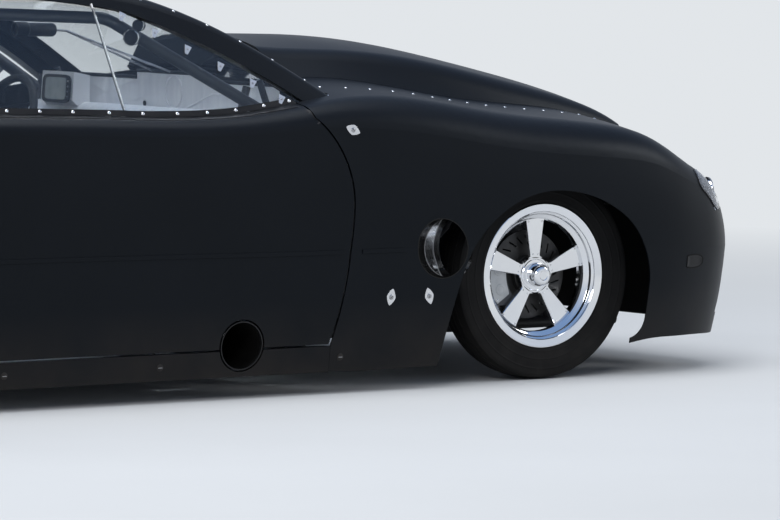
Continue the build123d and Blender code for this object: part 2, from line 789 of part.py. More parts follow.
caliper = caliper_ring & slab(
    FRONT_AXLE_X - 200, FRONT_AXLE_X - 60, -FRONT_TRACK_HALF - 100, -500,
    FRONT_TYRE_R - 95, FRONT_TYRE_R + 45,
)
bracket = slab(
    FRONT_AXLE_X - 150, FRONT_AXLE_X, spindle_end + 22, spindle_end + 34, FRONT_TYRE_R - 50, FRONT_TYRE_R + 20
)
bracket = bracket + slab(
    FRONT_AXLE_X - 150, FRONT_AXLE_X - 120, -FRONT_TRACK_HALF + caliper_high - 6, spindle_end + 34,
    FRONT_TYRE_R - 50, FRONT_TYRE_R + 20,
)
steer_arm = rod(
    (FRONT_AXLE_X, -KINGPIN_Y, 250), (FRONT_AXLE_X + 118, -KINGPIN_Y + 8, 235), 11
)
knuckle = union([knuckle, caliper, bracket, steer_arm])
keep("knuckle_right", knuckle)
keep("knuckle_left", mirrored(knuckle))

# Front suspension carried by the frame
lower_pad = rod(
    (FRONT_AXLE_X, -KINGPIN_Y, kingpin_low - 18), (FRONT_AXLE_X, -KINGPIN_Y, kingpin_low - SEAT_GAP), STRUT_R
)
arm_front = rod((FRONT_AXLE_X + 150, -RAIL_HALF, RAIL_Z), (FRONT_AXLE_X, -KINGPIN_Y, kingpin_low - 12), SMALL_TUBE_R)
arm_rear = rod((FRONT_AXLE_X - 190, -RAIL_HALF, RAIL_Z), (FRONT_AXLE_X, -KINGPIN_Y, kingpin_low - 12), SMALL_TUBE_R)
strut_top = 690
strut_body = rod((FRONT_AXLE_X, -KINGPIN_Y, kingpin_high + SEAT_GAP), (FRONT_AXLE_X, -KINGPIN_Y, strut_top), 28)
SPRING_R = 44
spring_seat = rod((FRONT_AXLE_X, -KINGPIN_Y, 470), (FRONT_AXLE_X, -KINGPIN_Y, 480), 50)
spring = rod((FRONT_AXLE_X, -KINGPIN_Y, 480), (FRONT_AXLE_X, -KINGPIN_Y, 640), SPRING_R)
top_plate = rod((FRONT_AXLE_X, -KINGPIN_Y, 640), (FRONT_AXLE_X, -KINGPIN_Y, 652), 50)

# Frame: two rails with cross tubes, outriggers, jacking pads and a towing plate
RAIL_FRONT = 560
RAIL_REAR = 3150
CROSS_TUBE_R = 18
RACK_AHEAD = 135
CROSS_PLACES = [540, RACK_AHEAD, 0, -640, -1500, -2140, -3130]
CAGE_HALF = 700
HOOP_BACK = 2085
COWL_BACK = 885
OUTRIGGER_PLACES = [-950, -1500, -2120]
OUTRIGGER_END = 857
OUTRIGGER_Z = 144
OUTRIGGER_R = 11
JACK_PLACES = [-640, -2140]
JACK_PAD_R = 38
JACK_PAD_DROP = 34
hoop_x = ahead(-HOOP_BACK)
cowl_x = ahead(-COWL_BACK)
rail_rear = ahead(-RAIL_REAR)
frame_parts = []
for side in (-1, 1):
    rail_y = side * RAIL_HALF
    frame_parts.append(rod((ahead(RAIL_FRONT), rail_y, RAIL_Z), (rail_rear, rail_y, RAIL_Z), FRAME_TUBE_R))
    for place in OUTRIGGER_PLACES:
        frame_parts.append(
            rod((ahead(place), rail_y, OUTRIGGER_Z), (ahead(place), side * OUTRIGGER_END, OUTRIGGER_Z), OUTRIGGER_R)
        )
for place in CROSS_PLACES:
    frame_parts.append(
        rod((ahead(place), -RAIL_HALF, RAIL_Z), (ahead(place), RAIL_HALF, RAIL_Z), CROSS_TUBE_R)
    )
for place in (cowl_x, hoop_x):
    frame_parts.append(rod((place, -CAGE_HALF - 21, RAIL_Z), (place, CAGE_HALF + 21, RAIL_Z), CROSS_TUBE_R))
for place in JACK_PLACES:
    frame_parts.append(rod((ahead(place), 0, RAIL_Z - JACK_PAD_DROP), (ahead(place), 0, RAIL_Z), JACK_PAD_R))
TOW_EYE_R = 14
TOW_THICK = 12
TOW_EYE_BACK = 90
TOW_DROP = 24
tow_x = rail_rear - TOW_EYE_BACK
tow_z = RAIL_Z - TOW_DROP
tow = slab(tow_x - 32, rail_rear + 60, -TOW_THICK / 2, TOW_THICK / 2, tow_z - 30, tow_z + 30)
tow = tow - rod((tow_x, -TOW_THICK, tow_z), (tow_x, TOW_THICK, tow_z), TOW_EYE_R)
frame = union(frame_parts + [tow])
keep("frame", frame)

# Front struts: lower arms, spring legs and their braces, one set each side, and a tie between
# Braces as place on the rail, half width and height drop at the strut, radius
STRUT_BRACES = [(-520, KINGPIN_Y, 4, 15), (300, KINGPIN_Y, 4, 15), (0, 500, 0, 13)]
STRUT_TIE_R = 18
arms = union([lower_pad, arm_front, arm_rear]) - frame
strut = [strut_body, spring_seat, spring, top_plate]
for place, half, drop, radius in STRUT_BRACES:
    strut.append(rod((ahead(place), -RAIL_HALF, RAIL_Z), (FRONT_AXLE_X, -half, strut_top - drop), radius))
strut_tie = rod((FRONT_AXLE_X, -KINGPIN_Y, strut_top), (FRONT_AXLE_X, KINGPIN_Y, strut_top), STRUT_TIE_R)
strut = union(strut) - frame
strut_tie = strut_tie - strut - mirrored(strut)
keep("front_struts", pair(arms) + pair(strut) + [strut_tie])

# Roll cage: main hoop
CAGE_KNEE_Z = 780
CAGE_ROOF_Z = 1215
CAGE_ROOF_HALF = 515
hoop = union([
    bent(
        [
            (hoop_x, -CAGE_HALF, RAIL_Z), (hoop_x, -CAGE_HALF, CAGE_KNEE_Z), (hoop_x, -CAGE_ROOF_HALF, CAGE_ROOF_Z),
            (hoop_x, CAGE_ROOF_HALF, CAGE_ROOF_Z), (hoop_x, CAGE_HALF, CAGE_KNEE_Z), (hoop_x, CAGE_HALF, RAIL_Z),
        ],
        CAGE_TUBE_R, 110,
    ),
    rod((hoop_x, -CAGE_HALF, 640), (hoop_x, CAGE_HALF, 640), 17),
    rod((hoop_x, -480, 1200), (hoop_x, 600, 300), 15),
]) - frame
keep("main_hoop", hoop)

# Roll cage: pillar bars, door bars and the fixed halves of the door hinges, with two cross bars
DASH_BAR_Z = 818
cage_side = [
    bent(
        [
            (hoop_x, -500, 1200), (ahead(-1480), -545, 1172), (ahead(-930), -660, 850),
            (cowl_x, -CAGE_HALF, RAIL_Z),
        ],
        CAGE_TUBE_R - 2, 120,
    ),
    rod((ahead(-905), -685, 400), (hoop_x, -CAGE_HALF, 330), 16),
    rod((ahead(-905), -680, 200), (hoop_x, -CAGE_HALF, 560), 16),
]
for hinge_z in HINGE_HEIGHTS:
    cage_side.append(hinge(hinge_z))
cage_side = union(cage_side) - frame - hoop
dash_bar = rod((ahead(-922), -660, DASH_BAR_Z), (ahead(-922), 660, DASH_BAR_Z), 16)
roof_bar = rod((ahead(-1480), -545, 1172), (ahead(-1480), 545, 1172), 16)
dash_bar = dash_bar - cage_side - mirrored(cage_side)
roof_bar = roof_bar - cage_side - mirrored(cage_side)
keep("cage_sides", pair(cage_side) + [dash_bar, roof_bar])

# Roll cage: rear stays with their cross bars
STAY_BACK = 2980
TAIL_BAR_BACK = 3420
cage_rear = union([
    rod((hoop_x, -500, 1190), (ahead(-STAY_BACK), -430, 620), 17),
    rod((hoop_x, -500, 640), (ahead(-STAY_BACK), -430, 620), 16),
    rod((ahead(-STAY_BACK), -430, 640), (ahead(-STAY_BACK), -RAIL_HALF, RAIL_Z), 17),
    rod((ahead(-STAY_BACK), -430, 620), (ahead(-TAIL_BAR_BACK), -380, 560), 14),
]) - frame - hoop
stay_bar = rod((ahead(-STAY_BACK), -430, 620), (ahead(-STAY_BACK), 430, 620), 15)
tail_bar = rod((ahead(-TAIL_BAR_BACK), -380, 560), (ahead(-TAIL_BAR_BACK), 380, 560), 13)
stay_bar = stay_bar - cage_rear - mirrored(cage_rear)
tail_bar = tail_bar - cage_rear - mirrored(cage_rear)
keep("cage_rear", pair(cage_rear) + [stay_bar, tail_bar])

# Roll cage: stays to the front struts
cage_front = rod((ahead(-895), -690, 640), (FRONT_AXLE_X, -KINGPIN_Y, strut_top + 30), 16)
cage_front = cage_front - cage_side - strut - strut_tie
keep("cage_front", pair(cage_front))

# Sheet metal of the cabin
SHEET = 3
PIPE_SLOT_INNER = 460
floor_form = body_form(AFT_ROWS, WALL + SEAT_GAP, OPEN_FLOOR)
floor_top = RAIL_Z - FRAME_TUBE_R - SEAT_GAP
floor_sheet = slab(ahead(-2095), ahead(-870), -900, 900, floor_top - SHEET, floor_top)
pipe_slot = rod(
    (side_pipe_x, -BODY_REACH, SIDE_PIPE_Z), (side_pipe_x, -PIPE_SLOT_INNER, SIDE_PIPE_Z), SIDE_PIPE_R + FREE_GAP
)
keep("floor_pan", (floor_sheet & floor_form) - pipe_slot - mirrored(pipe_slot))
TUNNEL_HALF = 150
SHAFT_Z = 310
FIREWALL_BACK = 880


def tunnel_outline(half):
    """Front view outline of the driveline tunnel at a half width."""
    return front_prism(
        (-half, 50),
        [(-half, SHAFT_Z), ((0, SHAFT_Z + half), (half, SHAFT_Z)), (half, 50)],
        -2060, -FIREWALL_BACK - SEAT_GAP,
    )


firewall = slab(ahead(-FIREWALL_BACK), ahead(-FIREWALL_BACK) + SHEET, -640, 640, 175, 820)
firewall = firewall - rod(
    (ahead(-FIREWALL_BACK - 20), 0, SHAFT_Z), (ahead(-FIREWALL_BACK + 20), 0, SHAFT_Z), TUNNEL_HALF - 5
)
firewall = firewall - slab(
    ahead(-FIREWALL_BACK - 20), ahead(-FIREWALL_BACK + 20), 5 - TUNNEL_HALF, TUNNEL_HALF - 5, 100, SHAFT_Z
)
keep("firewall", firewall)
tunnel = tunnel_outline(TUNNEL_HALF + SHEET) - tunnel_outline(TUNNEL_HALF)
tunnel = tunnel - slab(ahead(-2100), ahead(-800), -300, 300, 0, RAIL_Z + 18 + SEAT_GAP)
keep("driveline_tunnel", tunnel)

# Engine and driveline
ENGINE_FRONT = 150
ENGINE_LENGTH = 560
engine_outline = [
    (-130, 170), (130, 170), (170, 330), (300, 560), (235, 640), (120, 600), (120, 700), (-120, 700),
    (-120, 600), (-235, 640), (-300, 560), (-170, 330),
]
engine = front_prism(
    engine_outline[0], engine_outline[1:], -ENGINE_FRONT - ENGINE_LENGTH, -ENGINE_FRONT
)
keep("engine", engine)
gearbox_front = -ENGINE_FRONT - ENGINE_LENGTH - SEAT_GAP
gearbox = Solid.make_cone(
    135, 75, 620, Plane(origin=(ahead(gearbox_front), 0, SHAFT_Z), z_dir=(-1, 0, 0))
)
shaft_front = gearbox_front - 620
keep("gearbox", gearbox)
PINION_FRONT = 300
shaft = rod(
    (ahead(shaft_front) - SEAT_GAP, 0, SHAFT_Z), (REAR_AXLE_X + PINION_FRONT + SEAT_GAP, 0, SHAFT_Z), 45
)
keep("drive_shaft", shaft)

# Rear axle, links and dampers
axle_z = REAR_TYRE_R
axle_end = REAR_TRACK_HALF - REAR_HUB_BACK - SEAT_GAP
axle_parts = [
    rod((REAR_AXLE_X, -525, axle_z), (REAR_AXLE_X, 525, axle_z), 48),
    rod((REAR_AXLE_X, -axle_end, axle_z), (REAR_AXLE_X, axle_end, axle_z), 30),
    rod((REAR_AXLE_X, -110, axle_z), (REAR_AXLE_X, 110, axle_z), 150),
    Solid.make_cone(
        82, 60, PINION_FRONT - 60, Plane(origin=(REAR_AXLE_X + 60, 0, SHAFT_Z), z_dir=(1, 0, 0))
    ),
]
for side in (-1, 1):
    axle_parts.append(slab(REAR_AXLE_X - 30, REAR_AXLE_X + 30, side * 330 - 8, side * 330 + 8, 190, 560))
rear_axle = union(axle_parts)
keep("rear_axle", rear_axle)

link_front = REAR_AXLE_X + 560
LINK_Y = 352
LINK_R = 14
LINK_PLATE_Y = 372
# Links as heights at the axle and at the front
LINK_HEIGHTS = [(215, 200), (530, 400)]
link_pieces = [slab(link_front - 30, link_front + 30, -LINK_PLATE_Y - 4, 4 - LINK_PLATE_Y, 160, 440)]
for axle_height, front_height in LINK_HEIGHTS:
    link_pieces.append(
        rod((REAR_AXLE_X + 10, -LINK_Y, axle_height), (link_front, -LINK_Y, front_height), LINK_R)
    )
    link_pieces.append(
        rod((link_front, -LINK_Y, front_height), (link_front, -LINK_PLATE_Y - 6, front_height), 10)
    )
keep("rear_links", pair(union(link_pieces)))
damper = rod((REAR_AXLE_X - 40, -230, axle_z + 10), (ahead(-2980), -230, 620), 30)
damper = damper - rear_axle - cage_rear - stay_bar
keep("rear_dampers", pair(damper))

# Wheel tubs over the rear tyres
TUB_R = 425
tub_outer = rod((REAR_AXLE_X, -890, 360), (REAR_AXLE_X, -545, 360), TUB_R)
tub_inner = rod((REAR_AXLE_X, -900, 360), (REAR_AXLE_X, -545 - SHEET, 360), TUB_R - SHEET)
tub = (tub_outer - tub_inner) - slab(REAR_AXLE_X - 500, REAR_AXLE_X + 500, -900, -500, -100, 200)
tub = tub - rod((REAR_AXLE_X, -600, axle_z), (REAR_AXLE_X, -500, axle_z), 70)
tub = tub & body_form(AFT_ROWS, WALL + SEAT_GAP, OPEN_FLOOR)
keep("wheel_tubs", pair(tub))

# Wheelie bar
wheelie_x = TAIL_X - WHEELIE_REACH + WHEELIE_WHEEL_R
wheelie_z = WHEELIE_WHEEL_R + 55
bar_parts = []
BAR_Y = 330 - 8 - 14 - SEAT_GAP
for side in (-1, 1):
    end = (wheelie_x + 40, side * WHEELIE_TRACK_HALF, wheelie_z + 4)
    bar_parts.append(rod((REAR_AXLE_X - 15, side * BAR_Y, 215), end, 14))
    bar_parts.append(rod((REAR_AXLE_X - 15, side * BAR_Y, 500), (wheelie_x + 330, side * 200, wheelie_z + 45), 14))
    bar_parts.append(
        slab(wheelie_x - 14, wheelie_x + 60, side * WHEELIE_TRACK_HALF - 5, side * WHEELIE_TRACK_HALF + 5,
             wheelie_z - 14, wheelie_z + 22)
    )
bar_parts.append(rod((wheelie_x + 330, -200, wheelie_z + 45), (wheelie_x + 330, 200, wheelie_z + 45), 12))
bar_parts.append(
    rod((wheelie_x + 72, -WHEELIE_TRACK_HALF, wheelie_z + 9), (wheelie_x + 72, WHEELIE_TRACK_HALF, wheelie_z + 9), 12)
)
wheelie_bar = union(bar_parts)
wheelie_bar = wheelie_bar - rod((wheelie_x, -300, wheelie_z), (wheelie_x, 300, wheelie_z), 8 + SEAT_GAP)
keep("wheelie_bar", wheelie_bar)
wheelie_axle = rod(
    (wheelie_x, -WHEELIE_TRACK_HALF - 64, wheelie_z), (wheelie_x, WHEELIE_TRACK_HALF + 64, wheelie_z), 8
)
for side in (-1, 1):
    y_low = side * (WHEELIE_TRACK_HALF + 42) - WHEELIE_WHEEL_WIDTH / 2
    wheelie_axle = wheelie_axle + rod(
        (wheelie_x, y_low, wheelie_z), (wheelie_x, y_low + WHEELIE_WHEEL_WIDTH, wheelie_z), WHEELIE_WHEEL_R
    )
keep("wheelie_wheels", wheelie_axle)

# Seat, dash, column and steering wheel
DRIVER_Y = 400
seat = side_prism(
    (-1470, 175),
    [
        (-1450, 330), ((-1560, 300), (-1720, 250)), ((-1850, 330), (-1930, 620)), (-1990, 900),
        (-2030, 900), (-1960, 560), ((-1900, 220), (-1720, 175)),
    ],
    DRIVER_Y - 215, DRIVER_Y + 215,
)
bolster = side_prism(
    (-1470, 175),
    [(-1450, 420), ((-1600, 400), (-1750, 520)), (-1900, 760), (-2030, 760), (-1960, 560), ((-1900, 220), (-1720, 175))],
    DRIVER_Y - 240, DRIVER_Y - 215,
)
bolster_far = bolster.moved(Location((0, 455, 0)))
seat_feet = [
    slab(ahead(-1900), ahead(-1530), DRIVER_Y + y - 12, DRIVER_Y + y + 12, floor_top + SEAT_GAP, 190)
    for y in (-170, 170)
]
seat = union([seat, bolster, bolster_far] + seat_feet)
keep("seat", seat)

DASH_FRONT = FIREWALL_BACK + SEAT_GAP
dash = side_prism(
    (-DASH_FRONT, 700),
    [
        (-DASH_FRONT, 841), (-1040, 874), ((-1085, 852), (-1090, 800)), (-1082, 800),
        ((-1076, 844), (-1038, 866)), (-DASH_FRONT - 8, 834), (-DASH_FRONT - 8, 700),
    ],
    -600, 600,
)
keep("dash_panel", dash)
display = side_prism(
    (-1035, 862), [(-1032, 960), (-1092, 972), (-1100, 880), (-1075, 858)], DRIVER_Y - 100, DRIVER_Y + 100
)
keep("display", display - dash)

wheel_tilt = math.radians(22)
steer_x = ahead(-1300)
steer_z = 800
column_dir = Vector(math.cos(wheel_tilt), 0, -math.sin(wheel_tilt))
steer_centre = Vector(steer_x, DRIVER_Y, steer_z)
steer_plane = Plane(origin=steer_centre, z_dir=column_dir, x_dir=(0, 1, 0))
STEER_R = 165
grip = steer_plane * Pos(0, 0, 0) * Torus(STEER_R, 14)
spokes_plate = steer_plane * Box(2 * STEER_R - 10, 46, 5)
hub_disc = steer_plane * Cylinder(38, 24)
steering_wheel = grip + spokes_plate + hub_disc
keep("steering_wheel", steering_wheel)
column_start = steer_centre + column_dir * (12 + SEAT_GAP)
column_end = steer_centre + column_dir * 480
rack_x = ahead(RACK_AHEAD)
column = rod(tuple(column_start), tuple(column_end), 18)
column = column - slab(ahead(-FIREWALL_BACK) - SEAT_GAP, FRONT_AXLE_X, 0, 800, 300, 900)
keep("steering_column", column)
rack = rod((rack_x, -380, 250), (rack_x, 380, 250), 24)
rack = rack + rod((rack_x, -540, 240), (rack_x, 540, 240), 10)
for side in (-1, 1):
    rack = rack + slab(
        rack_x - 12, rack_x + 12, side * 330 - 10, side * 330 + 10, RAIL_Z + 18 + SEAT_GAP, 250
    )
keep("steering_rack", rack)

# Exhaust pieces
tip = port_bore(FENDER_PORT_R - SEAT_GAP, 60, 200) - port_bore(FENDER_PORT_R - SEAT_GAP - PIPE_WALL, 80, 300)
tip_keep = top_prism((-700, -1000), [(-700, -905), (-441, -838), (-345, -893), (-300, -1000)], 300, 600)
tip = (tip & tip_keep) & nose_outer
keep("fender_exhausts", pair(tip))
SIDE_PIPE_INNER = 500
side_pipe = pipe(
    (side_pipe_x, -BODY_REACH, SIDE_PIPE_Z), (side_pipe_x, -SIDE_PIPE_INNER, SIDE_PIPE_Z), SIDE_PIPE_R, PIPE_WALL
)
HANGER_R = 6
hanger_x = side_pipe_x + SIDE_PIPE_R - PIPE_WALL
hanger = rod(
    (hanger_x, -SIDE_PIPE_INNER - 30, RAIL_Z), (hanger_x, -RAIL_HALF - FRAME_TUBE_R - SEAT_GAP, RAIL_Z), HANGER_R
)
bore = rod(
    (side_pipe_x, -BODY_REACH, SIDE_PIPE_Z), (side_pipe_x, -SIDE_PIPE_INNER, SIDE_PIPE_Z), SIDE_PIPE_R - PIPE_WALL
)
keep("side_exhausts", pair((side_pipe & aft_outer) + (hanger - bore)))

# Parachute pack on its mount through the tail
PACK_GAP = 60
PACK_LENGTH = 230
PACK_HALF = 140
PACK_LOW = 520
PACK_TOP = 700
MOUNT_R = 24
pack_x = TAIL_X - PACK_GAP
keep("parachute_pack", slab(pack_x - PACK_LENGTH, pack_x, -PACK_HALF, PACK_HALF, PACK_LOW, PACK_TOP))
mount_ends = ((pack_x + 4, 0, 600), (ahead(-TAIL_BAR_BACK), 0, 570))
chute_mount = slab(
    pack_x + SEAT_GAP, pack_x + 8, -PACK_HALF - 10, PACK_HALF + 10, PACK_LOW - 10, PACK_TOP + 10
)
chute_mount = chute_mount + rod(*mount_ends, MOUNT_R)
keep("parachute_mount", chute_mount - tail_bar)
tail = tail - rod(*mount_ends, MOUNT_R + SEAT_GAP)

# Tail wing: a tilted blade with end plates, on three struts from the tail
WING_HALF = 640
FENCE_THICK = 6
WING_STRUTS = [-330, 0, 330]
WING_STRUT_R = 9
wing_parts = [
    side_prism((-3840, 925), [(-4080, 1050), (-4076, 1060), (-3830, 934)], -WING_HALF, WING_HALF),
]
for side in (-1, 1):
    fence_y = side * (WING_HALF + FENCE_THICK / 2)
    wing_parts.append(
        side_prism(
            (-3824, 940),
            [(-3935, 915), (-4085, 1006), (-4100, 1086), ((-4096, 1098), (-4080, 1100)), ((-3950, 1058), (-3840, 980))],
            fence_y - FENCE_THICK / 2, fence_y + FENCE_THICK / 2,
        )
    )
for strut_y in WING_STRUTS:
    wing_parts.append(rod((TAIL_X + 12, strut_y, 780), (ahead(-4030), strut_y, 1028), WING_STRUT_R))
keep("rear_wing", union(wing_parts) - tail)

# Tail lamps
tail_lamp_prism = front_prism(
    (-480, 720), [(-800, 700), (-800, 820), (-500, 830)], -3700, -4000
)
tail_lamp = (aft_outer - body_form(AFT_ROWS, LAMP_DEPTH, OPEN_FLOOR)) & tail_lamp_prism
tail = tail - tail_lamp_prism - mirrored(tail_lamp_prism)
keep("rear_bumper", tail)
keep("tail_lamps", pair(tail_lamp))


def save():
    """Write each node as its own file."""
    for name, shape in nodes.items():
        solids = []
        for item in shape if isinstance(shape, list) else [shape]:
            solids += item.solids()
        whole = solids[0] if len(solids) == 1 else Compound(children=solids)
        export_step(whole, f"parts/{name}.step")


save()
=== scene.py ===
"""Looks of the drag strip car: paint, wheels, fasteners, lamps, glass edging and cabin fittings.

Metres, +X to the nose, +Y to the car's left, +Z up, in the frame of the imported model.
"""

import math

import bmesh
import bpy
from mathutils import Matrix, Vector
from mathutils.bvhtree import BVHTree


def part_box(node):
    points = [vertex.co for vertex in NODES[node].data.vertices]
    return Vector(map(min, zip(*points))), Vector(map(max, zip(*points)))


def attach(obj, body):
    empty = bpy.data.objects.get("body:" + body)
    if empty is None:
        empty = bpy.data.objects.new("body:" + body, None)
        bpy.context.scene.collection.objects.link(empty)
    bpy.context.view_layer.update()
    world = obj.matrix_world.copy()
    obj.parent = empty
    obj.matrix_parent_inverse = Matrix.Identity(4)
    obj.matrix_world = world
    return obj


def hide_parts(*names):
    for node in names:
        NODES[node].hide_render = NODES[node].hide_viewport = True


bl_info = {
    "name": "Drag strip car dressing",
    "version": (1, 0, 0),
    "blender": (4, 5, 0),
    "location": "View3D > Sidebar > Drag car",
    "description": "Dresses the packed drag strip car with finishes and fine parts",
    "category": "Object",
}

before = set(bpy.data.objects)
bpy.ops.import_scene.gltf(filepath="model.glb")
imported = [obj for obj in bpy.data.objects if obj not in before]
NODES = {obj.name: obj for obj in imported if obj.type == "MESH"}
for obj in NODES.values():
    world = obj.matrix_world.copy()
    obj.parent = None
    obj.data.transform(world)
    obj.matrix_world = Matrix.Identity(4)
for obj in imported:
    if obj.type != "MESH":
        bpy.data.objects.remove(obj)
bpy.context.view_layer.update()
CHASSIS = "chassis"


def middle(node):
    """Centre of a node's box."""
    low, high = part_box(node)
    return (Vector(low) + Vector(high)) / 2


FRONT_HUB = middle("front_tyre_right")
REAR_HUB = middle("rear_tyre_right")
AXLE_X = FRONT_HUB.x


def ahead(distance):
    """X of a place given in metres ahead of the front axle."""
    return AXLE_X + distance


# Settings that a user would change


class PaintSettings(bpy.types.PropertyGroup):
    body_colour: bpy.props.FloatVectorProperty(
        name="Body colour", description="Colour of the body's matt paint", subtype="COLOR",
        size=3, min=0.0, max=1.0, default=(0.0026, 0.0032, 0.0045),
    )
    body_roughness: bpy.props.FloatProperty(
        name="Body roughness", description="Roughness of the body's paint",
        subtype="FACTOR", min=0.0, max=1.0, default=0.39,
    )
    tube_colour: bpy.props.FloatVectorProperty(
        name="Tube colour", description="Colour of the frame and cage tubes", subtype="COLOR",
        size=3, min=0.0, max=1.0, default=(0.045, 0.048, 0.055),
    )


class WheelSettings(bpy.types.PropertyGroup):
    spokes: bpy.props.IntProperty(
        name="Spokes", description="Spokes on each wheel", min=3, max=9, default=5,
    )
    root_half: bpy.props.FloatProperty(
        name="Spoke root half width", description="Half width of a spoke at the hub",
        subtype="DISTANCE", unit="LENGTH", default=0.0165,
    )
    tip_half: bpy.props.FloatProperty(
        name="Spoke tip half width", description="Half width of a spoke at the rim",
        subtype="DISTANCE", unit="LENGTH", default=0.035,
    )
    cap_radius: bpy.props.FloatProperty(
        name="Cap radius", description="Radius of the plain centre cap",
        subtype="DISTANCE", unit="LENGTH", default=0.036,
    )


class FastenerSettings(bpy.types.PropertyGroup):
    rivet_radius: bpy.props.FloatProperty(
        name="Rivet radius", description="Radius of the rivet heads along the scoop",
        subtype="DISTANCE", unit="LENGTH", default=0.0055,
    )
    screw_radius: bpy.props.FloatProperty(
        name="Screw radius", description="Radius of the screw heads round the windows",
        subtype="DISTANCE", unit="LENGTH", default=0.0065,
    )
    strip_width: bpy.props.FloatProperty(
        name="Sill strip width", description="Width of the black strip under the side windows",
        subtype="DISTANCE", unit="LENGTH", default=0.034,
    )


class StageSettings(bpy.types.PropertyGroup):
    floor_colour: bpy.props.FloatVectorProperty(
        name="Floor colour", description="Colour of the plain floor", subtype="COLOR",
        size=3, min=0.0, max=1.0, default=(0.62, 0.63, 0.64),
    )
    lens: bpy.props.FloatProperty(
        name="Lens", description="Focal length of the camera in millimetres", default=287.7,
    )
    azimuth: bpy.props.FloatProperty(
        name="Azimuth", description="Direction of the camera round the car",
        subtype="ANGLE", unit="ROTATION", default=math.radians(-35.0),
    )
    elevation: bpy.props.FloatProperty(
        name="Elevation", description="Height of the camera as an angle",
        subtype="ANGLE", unit="ROTATION", default=math.radians(3.9),
    )


# Finishes


class Finish:
    """One material being wired up from a few shader nodes."""

    def __init__(self, name):
        self.material = bpy.data.materials.new(name)
        self.material.use_nodes = True
        self.tree = self.material.node_tree
        self.shader = self.tree.nodes["Principled BSDF"]
        self.place = self.add("ShaderNodeTexCoord").outputs["Object"]

    def add(self, kind, **values):
        """A node with some of its inputs or properties set."""
        node = self.tree.nodes.new(kind)
        for key, value in values.items():
            if key in node.inputs:
                node.inputs[key].default_value = value
            else:
                setattr(node, key, value)
        return node

    def link(self, source, target):
        self.tree.links.new(source, target)

    def noise(self, scale, detail=3.0, stretch=None, roughness=0.55):
        """Noise in the object's own frame, stretched along the axes where stretch is given."""
        where = self.place
        if stretch:
            mapping = self.add("ShaderNodeMapping")
            mapping.inputs["Scale"].default_value = stretch
            self.link(where, mapping.inputs["Vector"])
            where = mapping.outputs["Vector"]
        node = self.add("ShaderNodeTexNoise", Scale=scale, Detail=detail, Roughness=roughness)
        self.link(where, node.inputs["Vector"])
        return node.outputs["Fac"]

    def spread(self, source, low, high, start=0.3, end=0.7):
        """The source mapped to a range of values."""
        node = self.add("ShaderNodeMapRange")
        for key, value in (("From Min", start), ("From Max", end), ("To Min", low), ("To Max", high)):
            node.inputs[key].default_value = value
        self.link(source, node.inputs["Value"])
        return node.outputs["Result"]

    def blend(self, factor, first, second):
        """Mix of two colours, each a value or a socket."""
        node = self.add("ShaderNodeMix", data_type="RGBA")
        self.link(factor, node.inputs[0])
        for index, colour in ((6, first), (7, second)):
            if isinstance(colour, bpy.types.NodeSocket):
                self.link(colour, node.inputs[index])
            else:
                node.inputs[index].default_value = (*colour, 1.0)
        return node.outputs[2]

    def times(self, first, second):
        node = self.add("ShaderNodeMath", operation="MULTIPLY")
        self.link(first, node.inputs[0])
        if isinstance(second, float):
            node.inputs[1].default_value = second
        else:
            self.link(second, node.inputs[1])
        return node.outputs[0]

    def low_down(self, top):
        """1 at the ground, 0 from a height up."""
        split = self.add("ShaderNodeSeparateXYZ")
        self.link(self.place, split.inputs[0])
        return self.spread(split.outputs["Z"], 1.0, 0.0, 0.0, top)

    def bump(self, height, strength, distance):
        node = self.add("ShaderNodeBump", Strength=strength, Distance=distance)
        self.link(height, node.inputs["Height"])
        self.link(node.outputs["Normal"], self.shader.inputs["Normal"])

    def set(self, **values):
        """Constants on the shader's own sockets; an underscore stands for a blank."""
        for key, value in values.items():
            self.shader.inputs[key.replace("_", " ")].default_value = value


def paint(name, colour, other, rough, metallic=0.0, scale=9.0, grain=260.0, grain_depth=0.00015,
          strength=0.25, stretch=None, ground_dust_and_reflection=None, specular=0.5, coat=0.0, sheen_tint=None):
    """Finish with a slow change of colour, a varied roughness, a fine grain and a brown colour near the
    ground: dust, and on the body also a painted reflection of the ground.
    """
    finish = Finish(name)
    slow = finish.noise(scale, 4.0, stretch)
    colour_out = finish.blend(finish.spread(slow, 0.0, 1.0), colour, other)
    # Brown near the ground: real dust, and on the body a painted reflection of the ground
    if ground_dust_and_reflection:
        low_colour, top, amount = ground_dust_and_reflection
        patch = finish.spread(finish.noise(scale * 2.3, 6.0), 0.25, amount)
        colour_out = finish.blend(finish.times(finish.low_down(top), patch), colour_out, low_colour)
    finish.link(colour_out, finish.shader.inputs["Base Color"])
    finish.link(finish.spread(slow, rough[0], rough[1]), finish.shader.inputs["Roughness"])
    finish.bump(finish.noise(grain, 2.0, stretch), strength, grain_depth)
    finish.set(Metallic=metallic, Specular_IOR_Level=specular)
    if coat:
        finish.set(Coat_Weight=coat, Coat_Roughness=0.12)
    if sheen_tint:
        finish.set(Specular_Tint=(*sheen_tint, 1.0))
    return finish.material


def clear(name, colour, rough, index=1.45):
    """Clear plastic or glass with faint wiping marks."""
    finish = Finish(name)
    slow = finish.noise(7.0, 3.0)
    tint = tuple(0.985 * c for c in colour)
    finish.link(finish.blend(finish.spread(slow, 0.0, 1.0), colour, tint), finish.shader.inputs["Base Color"])
    finish.link(finish.spread(slow, rough, rough * 2.0), finish.shader.inputs["Roughness"])
    finish.set(Transmission_Weight=1.0, IOR=index)
    return finish.material


